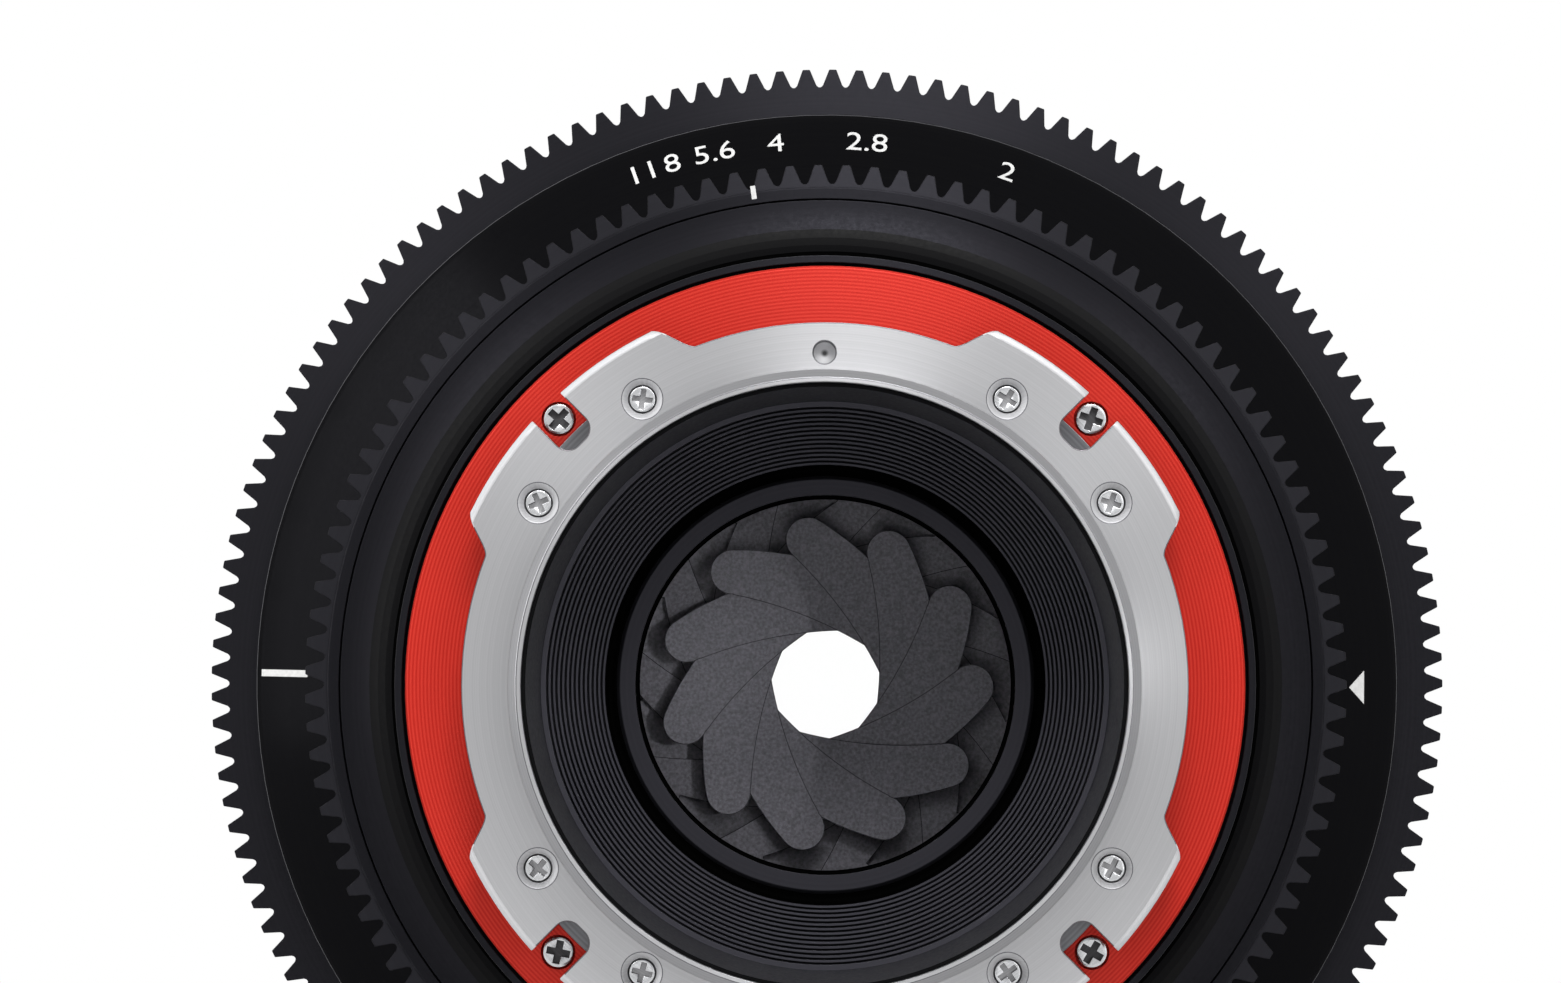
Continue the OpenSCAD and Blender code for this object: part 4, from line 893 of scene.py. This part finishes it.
def focus_mark(figure, angle):
    line = stroke(2.0, 0.3)
    on_band(line, angle, FOCUS_BAND_R, FOCUS_LINES_Y, -1)
    on_band(figure, angle, FOCUS_BAND_R, FOCUS_FIGURES_Y, -1)
    focus_scale.extend([line, figure])


for metres in (10, 5, 3, 2, 1.5, 1.2, 1, 0.8, 0.7, 0.6, 0.5):
    free = metres * 1000 - 2 * FOCAL
    move = (free - math.sqrt(free ** 2 - 4 * FOCAL ** 2)) / 2
    focus_mark(number(str(metres), FOCUS_FIGURE_H), FAR_AT + move / TRAVEL_PER_DEGREE)
far = number("8", FOCUS_FIGURE_H)
far.rotation_euler.z = math.pi / 2
bpy.ops.object.transform_apply(location=True, rotation=True, scale=True)
focus_mark(far, FAR_AT)
fill_set("focus_scale", "focus_drive", focus_scale)

# %% [markdown]
# The solids that stay as they are get their finishes in their own material slots. The iris housing has
# the blades' coat, and the sleeves behind the glass are flocked.

# %% Finishes of the other solids
FINISH = {
    "black_matte": baffle_black, "helicoid_brass": brass, "drive_alloy": black_anodised,
    "coated_glass": inner_glass, "shim_brass": brass, "screw_steel": screw_steel,
}
for part in frame["record"]["subparts"]:
    solid = nodes[part["node"]]
    if part["material_slot"] in FINISH:
        solid.data.materials.clear()
        solid.data.materials.append(FINISH[part["material_slot"]])
nodes["lens_1"].data.materials[0] = front_glass
for name in ("iris_base", "iris_cover"):
    nodes[name].data.materials[0] = blade_coat
for name in ("rear_cell", "focus_carrier"):
    nodes[name].data.materials[0] = flock_and_shade_black
print("finished solids:", len(FINISH), "slots")


# %% [markdown]
# The stage: a pale floor disc under the lens that fades to white at its rim, a white world for everything
# that the camera and the mirrors see, and a softer grey sky for the diffuse light.

# %% Floor
FLOOR_Z = -59.0 * MM
FLOOR_R = 0.5
FADE_FROM = 0.25
FADE_TO = 0.48


def seen_rays(tree):
    rays = add_node(tree, "ShaderNodeLightPath").outputs
    eye = {0: rays["Is Camera Ray"], 1: rays["Is Glossy Ray"]}
    mirrors = add_node(tree, "ShaderNodeMath", eye, operation="MAXIMUM").outputs[0]
    glass = {0: mirrors, 1: rays["Is Transmission Ray"]}
    return add_node(tree, "ShaderNodeMath", glass, operation="MAXIMUM").outputs[0]


bpy.ops.mesh.primitive_circle_add(vertices=128, radius=FLOOR_R, fill_type="NGON", location=(0, 0.05, FLOOR_Z))
floor = bpy.context.object
floor.name = "floor"
pale, tree = new_material("paper_floor")
place = add_node(tree, "ShaderNodeTexCoord").outputs["Object"]
out = add_node(tree, "ShaderNodeVectorMath", {0: place}, operation="LENGTH").outputs["Value"]
fade = add_node(tree, "ShaderNodeMapRange", {"Value": out, "From Min": FADE_FROM, "From Max": FADE_TO},
                interpolation_type="SMOOTHSTEP").outputs["Result"]
paper = add_node(tree, "ShaderNodeBsdfDiffuse", {"Color": linear("#F2F2F2")})
white = add_node(tree, "ShaderNodeEmission", {"Color": (1, 1, 1, 1), "Strength": 1.0})
share = add_node(tree, "ShaderNodeMath", {0: fade, 1: seen_rays(tree)}, operation="MULTIPLY").outputs[0]
blend = add_node(tree, "ShaderNodeMixShader", {0: share, 1: paper.outputs[0], 2: white.outputs[0]})
add_node(tree, "ShaderNodeOutputMaterial", {"Surface": blend.outputs[0]})
floor.data.materials.append(pale)
print("floor at", FLOOR_Z)

# %% World
SKY = 0.36
world = bpy.data.worlds.new("studio")
scene.world = world
world.use_nodes = True
tree = world.node_tree
tree.nodes.clear()
strength = add_node(tree, "ShaderNodeMapRange", {"Value": seen_rays(tree), "To Min": SKY, "To Max": 1.0})
sky = add_node(tree, "ShaderNodeBackground", {"Color": (1, 1, 1, 1), "Strength": strength.outputs["Result"]})
add_node(tree, "ShaderNodeOutputWorld", {"Surface": sky.outputs[0]})
print("sky strength:", SKY)


# %% [markdown]
# Five soft lamps shape the metal: a key above the camera, two weaker ones beside it, one low on the right
# and a tall strip on the left. A narrow lamp on the right shines down the throat, because little light
# gets there otherwise, and models the blades.

# %% Lamps
def aim_lamp(name, data, place, target):
    lamp = bpy.data.objects.new(name, data)
    scene.collection.objects.link(lamp)
    lamp.location = place
    dx, dy, dz = (t - p for t, p in zip(target, place))
    lamp.rotation_euler = (math.atan2(math.hypot(dx, dy), -dz), 0, math.atan2(dx, -dy) + math.pi)


def soft_lamp(name, place, width, height, watts):
    data = bpy.data.lights.new(name, "AREA")
    data.shape = "RECTANGLE"
    data.size = width
    data.size_y = height
    data.energy = watts
    aim_lamp(name, data, place, LENS_MIDDLE)


def narrow_lamp(name, place, target, degrees, radius, watts):
    data = bpy.data.lights.new(name, "SPOT")
    data.spot_size = math.radians(degrees)
    data.spot_blend = 1.0
    data.shadow_soft_size = radius
    data.energy = watts
    aim_lamp(name, data, place, target)


LENS_MIDDLE = (0, 0.02, 0)
IRIS_LEFT = (-0.011, 0.041, 0)
LOW_RIGHT = (0.42, -0.72, 0.03)
soft_lamp("key_box", (0.06, -0.62, 0.62), 0.3, 0.3, 5.5)
soft_lamp("key_left", (-0.42, -0.64, 0.42), 0.3, 0.3, 1.5)
soft_lamp("key_right", (0.46, -0.64, 0.42), 0.3, 0.3, 1.7)
soft_lamp("right_box", LOW_RIGHT, 0.3, 0.4, 0.35)
soft_lamp("left_strip", (-0.70, -0.12, 0.28), 0.25, 0.8, 2.6)
narrow_lamp("iris_lamp", LOW_RIGHT, IRIS_LEFT, degrees=2.05, radius=0.01, watts=7.0)
